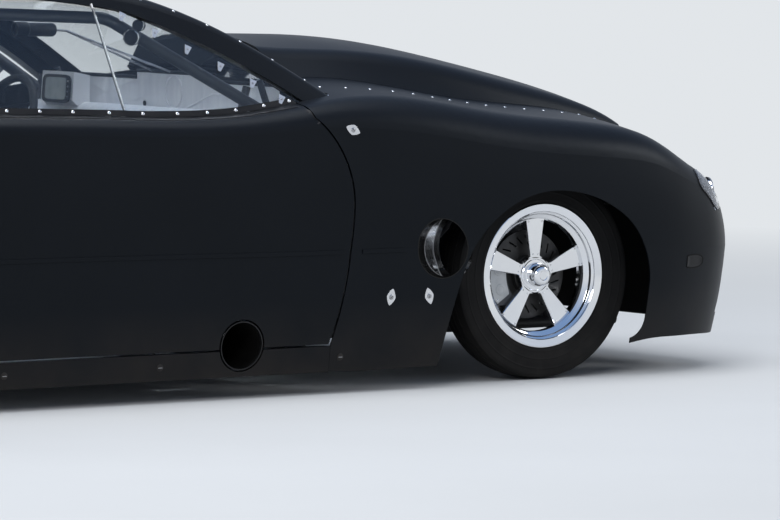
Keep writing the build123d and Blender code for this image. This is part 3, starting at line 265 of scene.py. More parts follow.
def woven(name, colour, other, pitch):
    """Woven cloth: two crossed bands of threads."""
    finish = Finish(name)
    waves = []
    for direction in ("X", "Z"):
        wave = finish.add("ShaderNodeTexWave", Scale=pitch, Distortion=0.6, bands_direction=direction)
        finish.link(finish.place, wave.inputs["Vector"])
        waves.append(wave.outputs["Fac"])
    weave = finish.times(waves[0], waves[1])
    slow = finish.noise(12.0, 4.0)
    colour_out = finish.blend(weave, colour, other)
    dusty = tuple(0.5 * (a + b) + 0.004 for a, b in zip(colour, other))
    colour_out = finish.blend(finish.spread(slow, 0.0, 0.6), colour_out, dusty)
    finish.link(colour_out, finish.shader.inputs["Base Color"])
    finish.link(finish.spread(slow, 0.75, 0.92), finish.shader.inputs["Roughness"])
    finish.bump(weave, 0.5, 0.0006)
    finish.set(Sheen_Weight=0.25, Sheen_Roughness=0.5)
    return finish.material


def tip_polish_and_painted_shade(name):
    """Polished where the pipe's wall faces forward; near-black painted shade on its outer edge, deep in the
    pipe and everywhere else.
    """
    finish = Finish(name)
    split = finish.add("ShaderNodeSeparateXYZ")
    finish.link(finish.tree.nodes["Texture Coordinate"].outputs["Normal"], split.inputs[0])
    facing_out = finish.spread(split.outputs["X"], 0.0, 1.0, 0.12, 0.3)
    spot = finish.add("ShaderNodeSeparateXYZ")
    finish.link(finish.place, spot.inputs[0])
    side = finish.add("ShaderNodeMath", operation="ABSOLUTE")
    finish.link(spot.outputs["Y"], side.inputs[0])
    # Only the rear half of the bore faces forward; black as painted shade at the fender's edge and where the
    # pipe goes deep
    rear_half = finish.spread(spot.outputs["X"], 1.0, 0.0, 1.372, 1.384)
    inside = finish.spread(side.outputs[0], 1.0, 0.0, 0.893, 0.897)
    shallow = finish.spread(side.outputs[0], 0.0, 1.0, 0.862, 0.868)
    bright = finish.times(finish.times(finish.times(facing_out, inside), shallow), rear_half)
    slow = finish.noise(14.0, 4.0)
    metal = finish.blend(finish.spread(slow, 0.0, 1.0), (0.86, 0.87, 0.88), (0.7, 0.71, 0.73))
    # Where the mask is off, the colour is near-black painted shade instead of metal
    finish.link(finish.blend(bright, (0.006, 0.006, 0.006), metal), finish.shader.inputs["Base Color"])
    finish.link(bright, finish.shader.inputs["Metallic"])
    finish.link(finish.spread(slow, 0.06, 0.16), finish.shader.inputs["Roughness"])
    finish.set(Specular_IOR_Level=0.2)
    return finish.material


FINISHES = {}


def make_finishes(settings):
    """Every finish of the car, by a plain name."""
    body = tuple(settings.body_colour)
    body_far = tuple(c * 1.25 for c in body)
    rough = settings.body_roughness
    tube = tuple(settings.tube_colour)
    # Brown for low down: road dust on every part, and on the body also a painted ground reflection
    road_dust_and_ground_reflection = (0.085, 0.066, 0.048)
    FINISHES.update(
        # The body's brown near the ground is dust and a painted reflection of the ground
        body=paint(
            "matt_black_paint", body, body_far, (rough, rough + 0.05), scale=2.2, grain=900.0,
            grain_depth=0.00003, strength=0.08, ground_dust_and_reflection=(road_dust_and_ground_reflection, 0.3, 0.05), specular=0.135,
            sheen_tint=(0.8, 0.9, 1.0),
        ),
        trim=paint("black_trim", (0.008, 0.008, 0.009), (0.012, 0.012, 0.013), (0.38, 0.5), scale=14.0,
                   grain=700.0, ground_dust_and_reflection=(road_dust_and_ground_reflection, 0.3, 0.08), specular=0.2),
        # Near-black used as painted shade behind the grille, in slots and in holes; also the side markers'
        # black rims
        inner_black=paint("inner_black", (0.004, 0.004, 0.004), (0.006, 0.006, 0.006), (0.7, 0.85),
                          scale=10.0, specular=0.15),
        polished=paint("polished_aluminium", (0.86, 0.865, 0.875), (0.8, 0.81, 0.83), (0.045, 0.1),
                       metallic=1.0, scale=6.0, grain=500.0, grain_depth=0.00002, strength=0.1),
        bright=paint("bright_fastener", (0.78, 0.78, 0.78), (0.66, 0.66, 0.67), (0.16, 0.28),
                     metallic=1.0, scale=60.0),
        sheet=paint("brushed_sheet", (0.62, 0.625, 0.635), (0.5, 0.505, 0.52), (0.26, 0.38), metallic=0.85,
                    scale=5.0, grain=240.0, grain_depth=0.0001, strength=0.2, stretch=(1.0, 10.0, 1.0)),
        tin=paint("bare_tinwork", (0.9, 0.905, 0.92), (0.78, 0.79, 0.82), (0.3, 0.42), metallic=0.2,
                  scale=5.0, grain=200.0, grain_depth=0.0001, stretch=(1.0, 8.0, 1.0)),
        tube=paint("tube_paint", tube, tuple(c * 0.8 for c in tube), (0.35, 0.5), scale=8.0,
                   ground_dust_and_reflection=(road_dust_and_ground_reflection, 0.3, 0.5)),
        steel=paint("plain_steel", (0.42, 0.42, 0.43), (0.3, 0.3, 0.31), (0.25, 0.45), metallic=1.0,
                    scale=18.0, stretch=(1.0, 1.0, 5.0)),
        iron=paint("turned_iron", (0.04, 0.04, 0.04), (0.065, 0.063, 0.062), (0.38, 0.52), metallic=0.7,
                   scale=30.0, grain=400.0, stretch=(1.0, 6.0, 1.0)),
        cast=paint("cast_block", (0.12, 0.12, 0.12), (0.19, 0.185, 0.18), (0.5, 0.7), metallic=0.4,
                   scale=16.0, grain=180.0, grain_depth=0.0008, strength=0.6),
        caliper=paint("bead_blasted_grey", (0.46, 0.47, 0.48), (0.38, 0.39, 0.4), (0.35, 0.5), metallic=0.7,
                      scale=24.0, grain=500.0),
        rubber=paint("tyre_rubber", (0.0055, 0.0055, 0.0058), (0.0085, 0.0083, 0.0083), (0.62, 0.8),
                     scale=7.0, grain=420.0, grain_depth=0.00025, strength=0.4,
                     ground_dust_and_reflection=((0.05, 0.045, 0.04), 0.4, 0.03), specular=0.1),
        grip=paint("wrapped_grip", (0.012, 0.012, 0.012), (0.02, 0.02, 0.02), (0.6, 0.8), scale=40.0,
                   grain=600.0, grain_depth=0.0005, strength=0.5),
        soot=paint("exhaust_soot", (0.003, 0.003, 0.003), (0.006, 0.0055, 0.005), (0.8, 0.95), scale=22.0,
                   specular=0.05),
        pipe=paint("black_pipe", (0.012, 0.012, 0.013), (0.02, 0.02, 0.021), (0.28, 0.42), metallic=0.5,
                   scale=20.0),
        port_tip=tip_polish_and_painted_shade("port_tip"),
        screen=paint("grey_screen", (0.2, 0.24, 0.25), (0.3, 0.34, 0.34), (0.12, 0.2), scale=20.0),
        reflector=paint("lamp_reflector", (0.8, 0.81, 0.83), (0.72, 0.73, 0.76), (0.05, 0.12),
                        metallic=1.0, scale=30.0),
        lamp_inner=paint("lamp_inner", (0.3, 0.31, 0.33), (0.22, 0.23, 0.25), (0.25, 0.4), metallic=0.6,
                         scale=20.0),
        red_lamp=paint("red_lens", (0.22, 0.004, 0.004), (0.16, 0.003, 0.003), (0.08, 0.16), scale=60.0,
                       grain=240.0, coat=0.6),
        glass=clear("clear_plastic", (0.93, 0.955, 0.96), 0.012),
        lens=clear("lamp_lens", (0.96, 0.97, 0.985), 0.008),
        cloth=woven("pack_cloth", (0.008, 0.008, 0.009), (0.02, 0.02, 0.022), 260.0),
        red_web=woven("red_webbing", (0.22, 0.012, 0.012), (0.3, 0.02, 0.02), 420.0),
        seat_cloth=woven("seat_cloth", (0.010, 0.010, 0.011), (0.026, 0.026, 0.028), 330.0),
    )


NODE_FINISHES = {
    "body": "front_clip hood_scoop main_shell rear_bumper deck_lid door_right door_left rear_wing rockers",
    "trim": "grille wheel_tubs",
    "pipe": "side_exhausts",
    "port_tip": "fender_exhausts",
    "glass": "windshield rear_window quarter_windows door_window_right door_window_left",
    "red_lamp": "tail_lamps",
    "lens": "headlamps",
    "sheet": "floor_pan firewall driveline_tunnel parachute_mount gearbox seat",
    "tin": "dash_panel display",
    "tube": "frame front_struts main_hoop cage_sides cage_rear cage_front wheelie_bar knuckle_right "
            "knuckle_left rear_axle",
    "cast": "engine",
    "steel": "drive_shaft steering_rack rear_dampers rear_links steering_column",
    "polished": "front_rim_right front_rim_left rear_rim_right rear_rim_left",
    "cloth": "parachute_pack",
    "rubber": "front_tyre_right front_tyre_left rear_tyre_right rear_tyre_left wheelie_wheels",
    "iron": "brake_disc_right brake_disc_left",
    "grip": "steering_wheel",
}


# Making meshes


class Shape:
    """Vertices and faces gathered for one piece."""

    def __init__(self):
        self.verts = []
        self.faces = []
        self.kinds = []
        self.kind = 0

    def add(self, verts, faces, place=None):
        """Add a part, moved by a matrix where one is given."""
        start = len(self.verts)
        for vert in verts:
            self.verts.append(place @ Vector(vert) if place else Vector(vert))
        for face in faces:
            self.faces.append([start + index for index in face])
            self.kinds.append(self.kind)

    def grid(self, rows, close_rows=False, close_columns=False, caps=False, place=None):
        """Skin over rows of points, joined end to end where asked."""
        count, width = len(rows), len(rows[0])
        verts = [point for row in rows for point in row]
        faces = []
        for i in range(count if close_rows else count - 1):
            for j in range(width if close_columns else width - 1):
                a, b = i * width + j, i * width + (j + 1) % width
                c, d = (i + 1) % count * width + (j + 1) % width, (i + 1) % count * width + j
                faces.append([a, b, c, d])
        if caps:
            faces.append(list(range(width))[::-1])
            faces.append([(count - 1) * width + j for j in range(width)])
        self.add(verts, faces, place)

    def lathe(self, profile, place, steps=48, loop=False):
        """Turn a profile of (height, radius) about the local Z axis."""
        rows = []
        for step in range(steps):
            turn = 2 * math.pi * step / steps
            rows.append([(r * math.cos(turn), r * math.sin(turn), z) for z, r in profile])
        self.grid(rows, close_rows=True, close_columns=loop, place=place)

    def dome(self, point, normal, radius, height, steps=12):
        """Round head of a rivet or screw sitting on a surface."""
        place = facing(point, normal)
        profile = [(-0.001, radius), (height * 0.35, radius), (height * 0.8, radius * 0.75),
                   (height, radius * 0.4), (height, 0.0)]
        self.lathe(profile, place, steps)

    def tube(self, points, radius, steps=12, closed=False, caps=True):
        """Round tube along points."""
        points = [Vector(p) for p in points]
        rows = []
        side = None
        count = len(points)
        for i, point in enumerate(points):
            before = points[i - 1] if i or closed else point
            after = points[(i + 1) % count] if i + 1 < count or closed else point
            run = (after - before).normalized()
            if side is None:
                side = run.orthogonal().normalized()
            side = (side - run * side.dot(run)).normalized()
            across = run.cross(side)
            rows.append([
                point + side * radius * math.cos(t) + across * radius * math.sin(t)
                for t in (2 * math.pi * k / steps for k in range(steps))
            ])
        self.grid(rows, close_rows=closed, close_columns=True, caps=caps and not closed)

    def block(self, low, high, place=None):
        """Six-sided block between two corners."""
        (a, b, c), (d, e, f) = low, high
        verts = [(a, b, c), (d, b, c), (d, e, c), (a, e, c), (a, b, f), (d, b, f), (d, e, f), (a, e, f)]
        faces = [(0, 3, 2, 1), (4, 5, 6, 7), (0, 1, 5, 4), (1, 2, 6, 5), (2, 3, 7, 6), (3, 0, 4, 7)]
        self.add(verts, faces, place)

    def plate(self, outline, thick, place=None):
        """Flat plate from an outline in local X and Y."""
        count = len(outline)
        verts = [(x, y, 0.0) for x, y in outline] + [(x, y, thick) for x, y in outline]
        faces = [list(range(count))[::-1], list(range(count, 2 * count))]
        faces += [[i, (i + 1) % count, count + (i + 1) % count, count + i] for i in range(count)]
        self.add(verts, faces, place)

    def strip(self, points, normals, widths, thick):
        """Band along points: widths gives its two edges across, thick its height over the surface."""
        rows = []
        for i, (point, normal) in enumerate(zip(points, normals)):
            run = (points[min(i + 1, len(points) - 1)] - points[max(i - 1, 0)]).normalized()
            across = normal.cross(run).normalized()
            low, high = widths
            rows.append([
                point + across * low - normal * 0.001, point + across * low + normal * thick,
                point + across * high + normal * thick, point + across * high - normal * 0.001,
            ])
        self.grid(rows, close_columns=True, caps=True)

    def mirror(self):
        """Add the mirror image on the other side of the car."""
        count = len(self.verts)
        self.verts += [Vector((v.x, -v.y, v.z)) for v in self.verts]
        self.faces += [[count + i for i in reversed(face)] for face in self.faces]
        self.kinds += self.kinds

    def other_side(self):
        """The same shape on the other side of the car, as a new shape."""
        copy = Shape()
        copy.verts = [Vector((v.x, -v.y, v.z)) for v in self.verts]
        copy.faces = [list(reversed(face)) for face in self.faces]
        copy.kinds = list(self.kinds)
        return copy

    def make(self, name, finishes, body, bevel=0.0, angle=35.0, replaces=(), cut=None, slot=None):
        """Turn the gathered faces into a piece that rides on a body."""
        mesh = bpy.data.meshes.new(name)
        mesh.from_pydata([tuple(v) for v in self.verts], [], self.faces)
        mesh.validate()
        for key in finishes.split():
            mesh.materials.append(FINISHES[key])
        for face, kind in zip(mesh.polygons, self.kinds):
            face.material_index = kind
        work = bmesh.new()
        work.from_mesh(mesh)
        bmesh.ops.remove_doubles(work, verts=work.verts, dist=0.00001)
        bmesh.ops.recalc_face_normals(work, faces=work.faces)
        work.to_mesh(mesh)
        work.free()
        mesh.shade_smooth()
        mesh.set_sharp_from_angle(angle=math.radians(angle))
        piece = bpy.data.objects.new(name, mesh)
        bpy.context.scene.collection.objects.link(piece)
        if cut:
            cut(piece)
        if bevel:
            edge = piece.modifiers.new("edge", "BEVEL")
            edge.width = bevel
            edge.segments = 2
            edge.limit_method = "ANGLE"
            edge.angle_limit = math.radians(30.0)
            edge.harden_normals = True
        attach(piece, body)
        if replaces:
            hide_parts(*replaces)
        return piece


def facing(point, normal, up=Vector((0.0, 0.0, 1.0))):
    """Matrix with its origin at a point, Z along a normal and Y as near up as it can be."""
    z = Vector(normal).normalized()
    x = up.cross(z)
    if x.length < 0.01:
        x = Vector((1.0, 0.0, 0.0))
    x.normalize()
    y = z.cross(x)
    return Matrix.Translation(point) @ Matrix((x, y, z)).transposed().to_4x4()


def wheel_place(hub, side):
    """Local Z points out of the car and local Y up; side is -1 on the right."""
    return Matrix.Translation((hub.x, side * abs(hub.y), hub.z)) @ Matrix(
        ((1.0, 0.0, 0.0), (0.0, 0.0, float(side)), (0.0, 1.0, 0.0))
    ).to_4x4()


SKINS = {}


def skin(node):
    """Surface of a CAD node for finding points on it."""
    if node not in SKINS:
        mesh = NODES[node].data
        SKINS[node] = BVHTree.FromPolygons(
            [v.co for v in mesh.vertices], [list(p.vertices) for p in mesh.polygons]
        )
    return SKINS[node]


def hit(nodes, start, direction):
    """First point and outward normal on some nodes along a direction; None where it misses."""
    start, direction = Vector(start), Vector(direction).normalized()
    best = None
    for node in nodes.split():
        point, normal, _, far = skin(node).ray_cast(start, direction)
        if point is not None and (best is None or far < best[2]):
            if normal.dot(direction) > 0:
                normal = -normal
            best = (point, normal, far)
    return best[:2] if best else None


def from_right(nodes, x, z):
    """Point on the right side's skin at a place and height."""
    found = hit(nodes, (x, -1.5, z), (0.0, 1.0, 0.0))
    if found is None:
        raise RuntimeError(f"no surface of {nodes} at {x:.3f}, {z:.3f}")
    return found


def from_above(nodes, x, y):
    """Point on the upper skin at a place."""
    found = hit(nodes, (x, y, 2.0), (0.0, 0.0, -1.0))
    if found is None:
        raise RuntimeError(f"no surface of {nodes} at {x:.3f}, {y:.3f}")
    return found


def between(table, x):
    """Value at x on straight runs between rows of (x, value)."""
    rows = sorted(table)
    for (x0, v0), (x1, v1) in zip(rows, rows[1:]):
        if x <= x1:
            return v0 + (v1 - v0) * max(0.0, x - x0) / (x1 - x0)
    return rows[-1][1]


# Pieces

PALE = (0.76, 0.79, 0.82)
SKY = (0.2, 0.32, 0.56)
FILL = (0.62, 0.7, 0.82)
FILL_STRENGTH = 0.62
FLOOR_REACH = 400.0
FADE_START, FADE_END = 3.0, 9.0
SKY_START, SKY_END = 0.04, 0.7

# The picture's size and the place of the wheel's face in it, in pixels
PICTURE_WIDTH, PICTURE_HEIGHT = 780.0, 520.0
WHEEL_ACROSS, WHEEL_DOWN = 538.0, 275.0
WHEEL_FACE_Y = -0.770
CAMERA_DISTANCE = 20.0


class DRAGCAR_OT_stage(bpy.types.Operator):
    """Floor, light, sky and camera"""

    bl_idname = "dragcar.stage"
    bl_label = "Stage"

    def execute(self, context):
        settings = context.scene.dragcar_stage
        mesh = bpy.data.meshes.new("floor")
        corners = ((-1, -1), (1, -1), (1, 1), (-1, 1))
        mesh.from_pydata([(FLOOR_REACH * x, FLOOR_REACH * y, 0.0) for x, y in corners], [], [(0, 1, 2, 3)])
        floor = bpy.data.objects.new("floor", mesh)
        context.scene.collection.objects.link(floor)
        finish = Finish("plain_floor")
        colour = tuple(settings.floor_colour)
        slow = finish.spread(finish.noise(0.8, 5.0), 0.0, 1.0)
        patches = finish.blend(slow, colour, tuple(c * 0.97 for c in colour))
        finish.link(patches, finish.shader.inputs["Base Color"])
        finish.set(Roughness=0.85, Specular_IOR_Level=0.1)
        # Far off the floor shows its own pale colour, so that it runs into the backdrop
        rays = finish.add("ShaderNodeLightPath")
        seen = finish.add("ShaderNodeMath", operation="MAXIMUM")
        finish.link(rays.outputs["Is Camera Ray"], seen.inputs[0])
        finish.link(rays.outputs["Is Glossy Ray"], seen.inputs[1])
        any_ray = finish.add("ShaderNodeMath", operation="MAXIMUM")
        finish.link(seen.outputs[0], any_ray.inputs[0])
        finish.link(rays.outputs["Is Transmission Ray"], any_ray.inputs[1])
        away = finish.add("ShaderNodeVectorMath", operation="LENGTH")
        finish.link(finish.place, away.inputs[0])
        far = finish.spread(away.outputs["Value"], 0.0, 1.0, FADE_START, FADE_END)
        glow = finish.add("ShaderNodeEmission", Color=(*PALE, 1.0))
        mixed = finish.add("ShaderNodeMixShader")
        finish.link(finish.times(far, any_ray.outputs[0]), mixed.inputs[0])
        finish.link(finish.shader.outputs[0], mixed.inputs[1])
        finish.link(glow.outputs[0], mixed.inputs[2])
        finish.link(mixed.outputs[0], finish.tree.nodes["Material Output"].inputs[0])
        mesh.materials.append(finish.material)

        # Lamps as name, place, target, size across and along, watts
        lamps = [
            ("overhead", (0.6, -1.2, 6.5), (0.3, 0.0, 0.6), 7.0, 4.0, 330.0),
            ("shoulder", (-4.5, -6.5, 4.2), (1.0, -0.6, 0.6), 3.2, 2.2, 190.0),
            ("nose", (7.5, -3.5, 3.6), (1.8, -0.4, 0.5), 2.6, 2.0, 110.0),
            ("tail", (-6.5, 4.5, 4.0), (-1.0, 0.4, 0.7), 3.0, 2.0, 140.0),
        ]
        for name, place, target, across, along, watts in lamps:
            light = bpy.data.lights.new(name, "AREA")
            light.shape = "RECTANGLE"
            light.size, light.size_y, light.energy = across, along, watts
            lamp = bpy.data.objects.new(name, light)
            lamp.location = place
            lamp.rotation_mode = "QUATERNION"
            lamp.rotation_quaternion = (Vector(target) - Vector(place)).to_track_quat("-Z", "Y")
            context.scene.collection.objects.link(lamp)

        world = bpy.data.worlds.new("studio")
        world.use_nodes = True
        tree = world.node_tree
        tree.nodes.clear()
        rays = tree.nodes.new("ShaderNodeLightPath")
        seen = tree.nodes.new("ShaderNodeMath")
        seen.operation = "MAXIMUM"
        glossy = tree.nodes.new("ShaderNodeMath")
        glossy.operation = "MAXIMUM"
        tree.links.new(rays.outputs["Is Camera Ray"], glossy.inputs[0])
        tree.links.new(rays.outputs["Is Glossy Ray"], glossy.inputs[1])
        tree.links.new(glossy.outputs[0], seen.inputs[0])
        tree.links.new(rays.outputs["Is Transmission Ray"], seen.inputs[1])
        soft = tree.nodes.new("ShaderNodeBackground")
        soft.inputs["Color"].default_value = (*FILL, 1.0)
        soft.inputs["Strength"].default_value = FILL_STRENGTH
        pale = tree.nodes.new("ShaderNodeBackground")
        # Polished pieces mirror a sky that turns blue and darker with height
        place = tree.nodes.new("ShaderNodeTexCoord")
        parts = tree.nodes.new("ShaderNodeSeparateXYZ")
        tree.links.new(place.outputs["Generated"], parts.inputs[0])
        height = tree.nodes.new("ShaderNodeMapRange")
        height.inputs["From Min"].default_value = SKY_START
        height.inputs["From Max"].default_value = SKY_END
        tree.links.new(parts.outputs["Z"], height.inputs["Value"])
        tint = tree.nodes.new("ShaderNodeMix")
        tint.data_type = "RGBA"
        tint.inputs[6].default_value = (*PALE, 1.0)
        tint.inputs[7].default_value = (*SKY, 1.0)
        tree.links.new(height.outputs["Result"], tint.inputs[0])
        turned = tree.nodes.new("ShaderNodeMix")
        turned.data_type = "RGBA"
        turned.inputs[6].default_value = (*PALE, 1.0)
        tree.links.new(rays.outputs["Is Glossy Ray"], turned.inputs[0])
        tree.links.new(tint.outputs[2], turned.inputs[7])
        tree.links.new(turned.outputs[2], pale.inputs["Color"])
        mix = tree.nodes.new("ShaderNodeMixShader")
        out = tree.nodes.new("ShaderNodeOutputWorld")
        tree.links.new(seen.outputs[0], mix.inputs[0])
        tree.links.new(soft.outputs[0], mix.inputs[1])
        tree.links.new(pale.outputs[0], mix.inputs[2])
        tree.links.new(mix.outputs[0], out.inputs[0])
        context.scene.world = world
        context.scene.view_settings.view_transform = "Standard"

        # The camera stands far off; the wheel's face falls on its place in the picture
        camera = bpy.data.cameras.new("camera")
        camera.lens = settings.lens
        camera.sensor_width = 36.0
        camera.clip_end = 1000.0
        eye = bpy.data.objects.new("camera", camera)
        focal = settings.lens / camera.sensor_width * PICTURE_WIDTH
        target_x = WHEEL_ACROSS - PICTURE_WIDTH / 2
        target_y = PICTURE_HEIGHT / 2 - WHEEL_DOWN
        subject = Vector((AXLE_X, WHEEL_FACE_Y, FRONT_HUB.z))
        a, e = settings.azimuth, settings.elevation
        back = Vector((math.sin(a) * math.cos(e), -math.cos(a) * math.cos(e), math.sin(e)))
        eye.location = subject + back * CAMERA_DISTANCE
        aim = -back
        for _ in range(20):
            right = aim.cross(Vector((0.0, 0.0, 1.0))).normalized()
            above = right.cross(aim)
            run = subject - eye.location
            x = focal * run.dot(right) / run.dot(aim)
            y = focal * run.dot(above) / run.dot(aim)
            aim = (aim + right * ((x - target_x) / focal) + above * ((y - target_y) / focal)).normalized()
        eye.rotation_mode = "QUATERNION"
        eye.rotation_quaternion = aim.to_track_quat("-Z", "Y")
        context.scene.collection.objects.link(eye)
        context.scene.camera = eye
        return {"FINISHED"}


class DRAGCAR_OT_paint(bpy.types.Operator):
    """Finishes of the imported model's own nodes"""

    bl_idname = "dragcar.paint"
    bl_label = "Paint"

    def execute(self, context):
        make_finishes(context.scene.dragcar_paint)
        done = set()
        for key, names in NODE_FINISHES.items():
            for name in names.split():
                mesh = NODES[name].data
                mesh.materials.clear()
                mesh.materials.append(FINISHES[key])
                done.add(name)
        bare = set(NODES) - done
        if bare:
            raise RuntimeError(f"no finish for {sorted(bare)}")
        return {"FINISHED"}


def spoke_rows(settings, inner, outer, face, thick, fillet):
    """Cross sections of one spoke that points along local Y, its ends flared into hub and rim."""
    rows = []
    steps = 22
    for step in range(steps + 1):
        r = inner + (outer - inner) * step / steps
        share = min(1.0, max(0.0, (r - inner) / (outer - inner)))
        half = settings.root_half + (settings.tip_half - settings.root_half) * share
        for end in (outer, inner):
            into = fillet - abs(end - r)
            if into > 0:
                half += fillet - math.sqrt(max(0.0, fillet * fillet - into * into))
        edge = 0.0016
        rows.append([
            (-half, r, face - thick), (-half, r, face - edge), (-half + edge, r, face),
            (half - edge, r, face), (half, r, face - edge), (half, r, face - thick),
        ])
    return rows


def rim_shape(settings, place, half, bead, ring_inner, face, bolts):
    """Two-piece rim: stepped barrel, spokes, hub and plain cap; local Z points out of the car."""
    shape = Shape()
    flange = bead + 0.016
    outside = [
        (-half, flange), (-half + 0.007, flange), (-half + 0.009, bead + 0.001),
        (-half + 0.034, bead - 0.002), (-half + 0.048, bead - 0.018),
        (half - 0.040, bead - 0.018), (half - 0.028, bead - 0.002),
        (half - 0.009, bead + 0.001), (half - 0.0075, flange - 0.001), (half - 0.006, flange),
    ]
    inside = [
        (half - 0.001, flange - 0.0008), (half, flange - 0.003), (half - 0.0012, flange - 0.009),
        (half - 0.003, flange - 0.018), (half - 0.0045, flange - 0.0255), (half - 0.0058, flange - 0.0268),
        (half - 0.0105, flange - 0.0268), (half - 0.012, flange - 0.0285), (half - 0.014, flange - 0.0325),
        (half - 0.0155, flange - 0.0342), (half - 0.026, flange - 0.0352), (half - 0.0275, flange - 0.0368),
        (half - 0.030, ring_inner + 0.009), (half - 0.0335, ring_inner + 0.0035), (half - 0.036, ring_inner),
        (face, ring_inner - 0.001), (face - 0.014, ring_inner - 0.001), (face - 0.0155, ring_inner + 0.004),
        (-half + 0.046, bead - 0.027), (-half + 0.030, bead - 0.009), (-half + 0.004, bead - 0.006),
        (-half, bead + 0.004),
    ]
    shape.lathe(outside + inside, place, 120, loop=True)
    hub = [
        (face - 0.014, 0.0), (face - 0.014, 0.060), (face - 0.001, 0.0575), (face, 0.0565), (face, 0.051),
        (face + 0.002, 0.049), (face + 0.0025, 0.044), (face + 0.0025, 0.0),
    ]
    shape.lathe(hub, place, 64)
    count = settings.spokes
    for number in range(count):
        turn = place @ Matrix.Rotation(2 * math.pi * number / count, 4, "Z")
        rows = spoke_rows(settings, 0.054, ring_inner + 0.001, face, 0.014, 0.012)
        shape.grid(rows, close_columns=True, caps=True, place=turn)
        shape.kind = 1
        for along, across in ((ring_inner - 0.010, 0.0265), (0.066, 0.0095)):
            for side in (-1, 1):
                spot = turn @ Vector((side * across, along, face))
                out = (turn.to_3x3() @ Vector((0.0, 0.0, 1.0))).normalized()
                shape.dome(spot, out, 0.0032 if along > 0.1 else 0.0026, 0.0022, 10)
        shape.kind = 0
    cap = settings.cap_radius
    top = face + 0.050
    shape.lathe(
        [
            (face, cap + 0.004), (face + 0.004, cap + 0.004), (face + 0.005, cap + 0.001),
            (face + 0.012, cap), (top - 0.016, cap - 0.001), (top - 0.012, cap - 0.003),
            (top - 0.006, cap - 0.0075),
            (top - 0.003, cap - 0.013), (top - 0.0025, cap - 0.020), (top - 0.004, cap - 0.022),
            (top - 0.004, 0.0),
        ],
        place, 64,
    )
    if bolts:
        shape.kind = 1
        for number in range(bolts):
            turn = place @ Matrix.Rotation(2 * math.pi * (number + 0.5) / bolts, 4, "Z")
            spot = turn @ Vector((0.0, flange - 0.0105, half - 0.001))
            out = (turn.to_3x3() @ Vector((0.0, 0.0, 1.0))).normalized()
            shape.dome(spot, out, 0.0042, 0.003, 6)
    return shape


def tyre_shape(place, half_rim, bead, radius, half, grooves):
    """Tyre skin from bead to bead with rim guard, sidewall rings and tread grooves."""
    flange = bead + 0.0165
    side = radius - 0.16 * (radius - bead)
    middle_r = (flange + side) / 2
    wall = []
    steps = 26
    for step in range(steps + 1):
        share = step / steps
        r = flange + 0.002 + (side - flange - 0.002) * share
        bulge = 1 - ((r - middle_r) / (side - middle_r)) ** 2
        z = half_rim + (half - 0.005 - half_rim) * share + 0.003 * bulge
        ring = 0.0
        if 0.05 < share < 0.13 or 0.42 < share < 0.46 or 0.80 < share < 0.84:
            ring = 0.0012
        wall.append((z + ring, r))
    shoulder = [
        (half - 0.0052, side + 0.002), (half - 0.0065, side + 0.35 * (radius - side)),
        (half - 0.010, radius - 0.35 * (radius - side)), (half - 0.016, radius - 0.0065),
        (half - 0.022, radius - 0.004),
    ]
    tread = []
    reach = half - 0.024
    crown = 0.004
    depth = 0.003
    for groove in grooves:
        for z, low in ((groove + 0.003, 0), (groove + 0.002, 1), (groove - 0.002, 1), (groove - 0.003, 0)):
            tread.append((z, radius - crown * (z / reach) ** 2 - depth * low))
    if not grooves:
        tread = [(reach * (1 - 2 * k / 12), radius - crown * (1 - 2 * k / 12) ** 2) for k in range(13)]
    outer = wall + shoulder
    inner = [(-z, r) for z, r in reversed(outer)]
    low_z = half_rim - 0.0093
    inside = [(-low_z, flange), (-low_z, bead + 0.0013), (low_z, bead + 0.0013), (low_z, flange)]
    shape = Shape()
    shape.lathe(outer + tread + inner + inside, place, 128, loop=True)
    return shape


class DRAGCAR_OT_wheels(bpy.types.Operator):
    """Polished rims and black tyres"""

    bl_idname = "dragcar.wheels"
    bl_label = "Wheels"

    def execute(self, context):
        settings = context.scene.dragcar_wheels
        # Wheels as end of the car, hub, rim half width, bead radius, spoke ring radius, spoke face,
        # bolts in the lip, tyre radius, tyre half width, grooves
        wheels = [
            ("front", FRONT_HUB, 0.059, 0.216, 0.1815, 0.013, 0, 0.333, 0.066, (0.026, 0.0, -0.026)),
            ("rear", REAR_HUB, 0.131, 0.191, 0.1565, 0.085, 24, 0.375, 0.150, ()),
        ]
        for end, hub, half, bead, ring, face, bolts, radius, tyre_half, grooves in wheels:
            for side, word in ((-1, "right"), (1, "left")):
                place = wheel_place(hub, side)
                body = f"wheel_{end}_{word}"
                rim = rim_shape(settings, place, half, bead, ring, face, bolts)
                rim.make(f"{end}_wheel_{word}", "polished bright", body, angle=28.0,
                         replaces=(f"{end}_rim_{word}",), slot="wheel_polish")
                tyre = tyre_shape(place, half, bead, radius, tyre_half, grooves)
                tyre.make(f"{end}_tyre_skin_{word}", "rubber", body, angle=40.0,
                          replaces=(f"{end}_tyre_{word}",), slot="tyre_rubber")
        return {"FINISHED"}


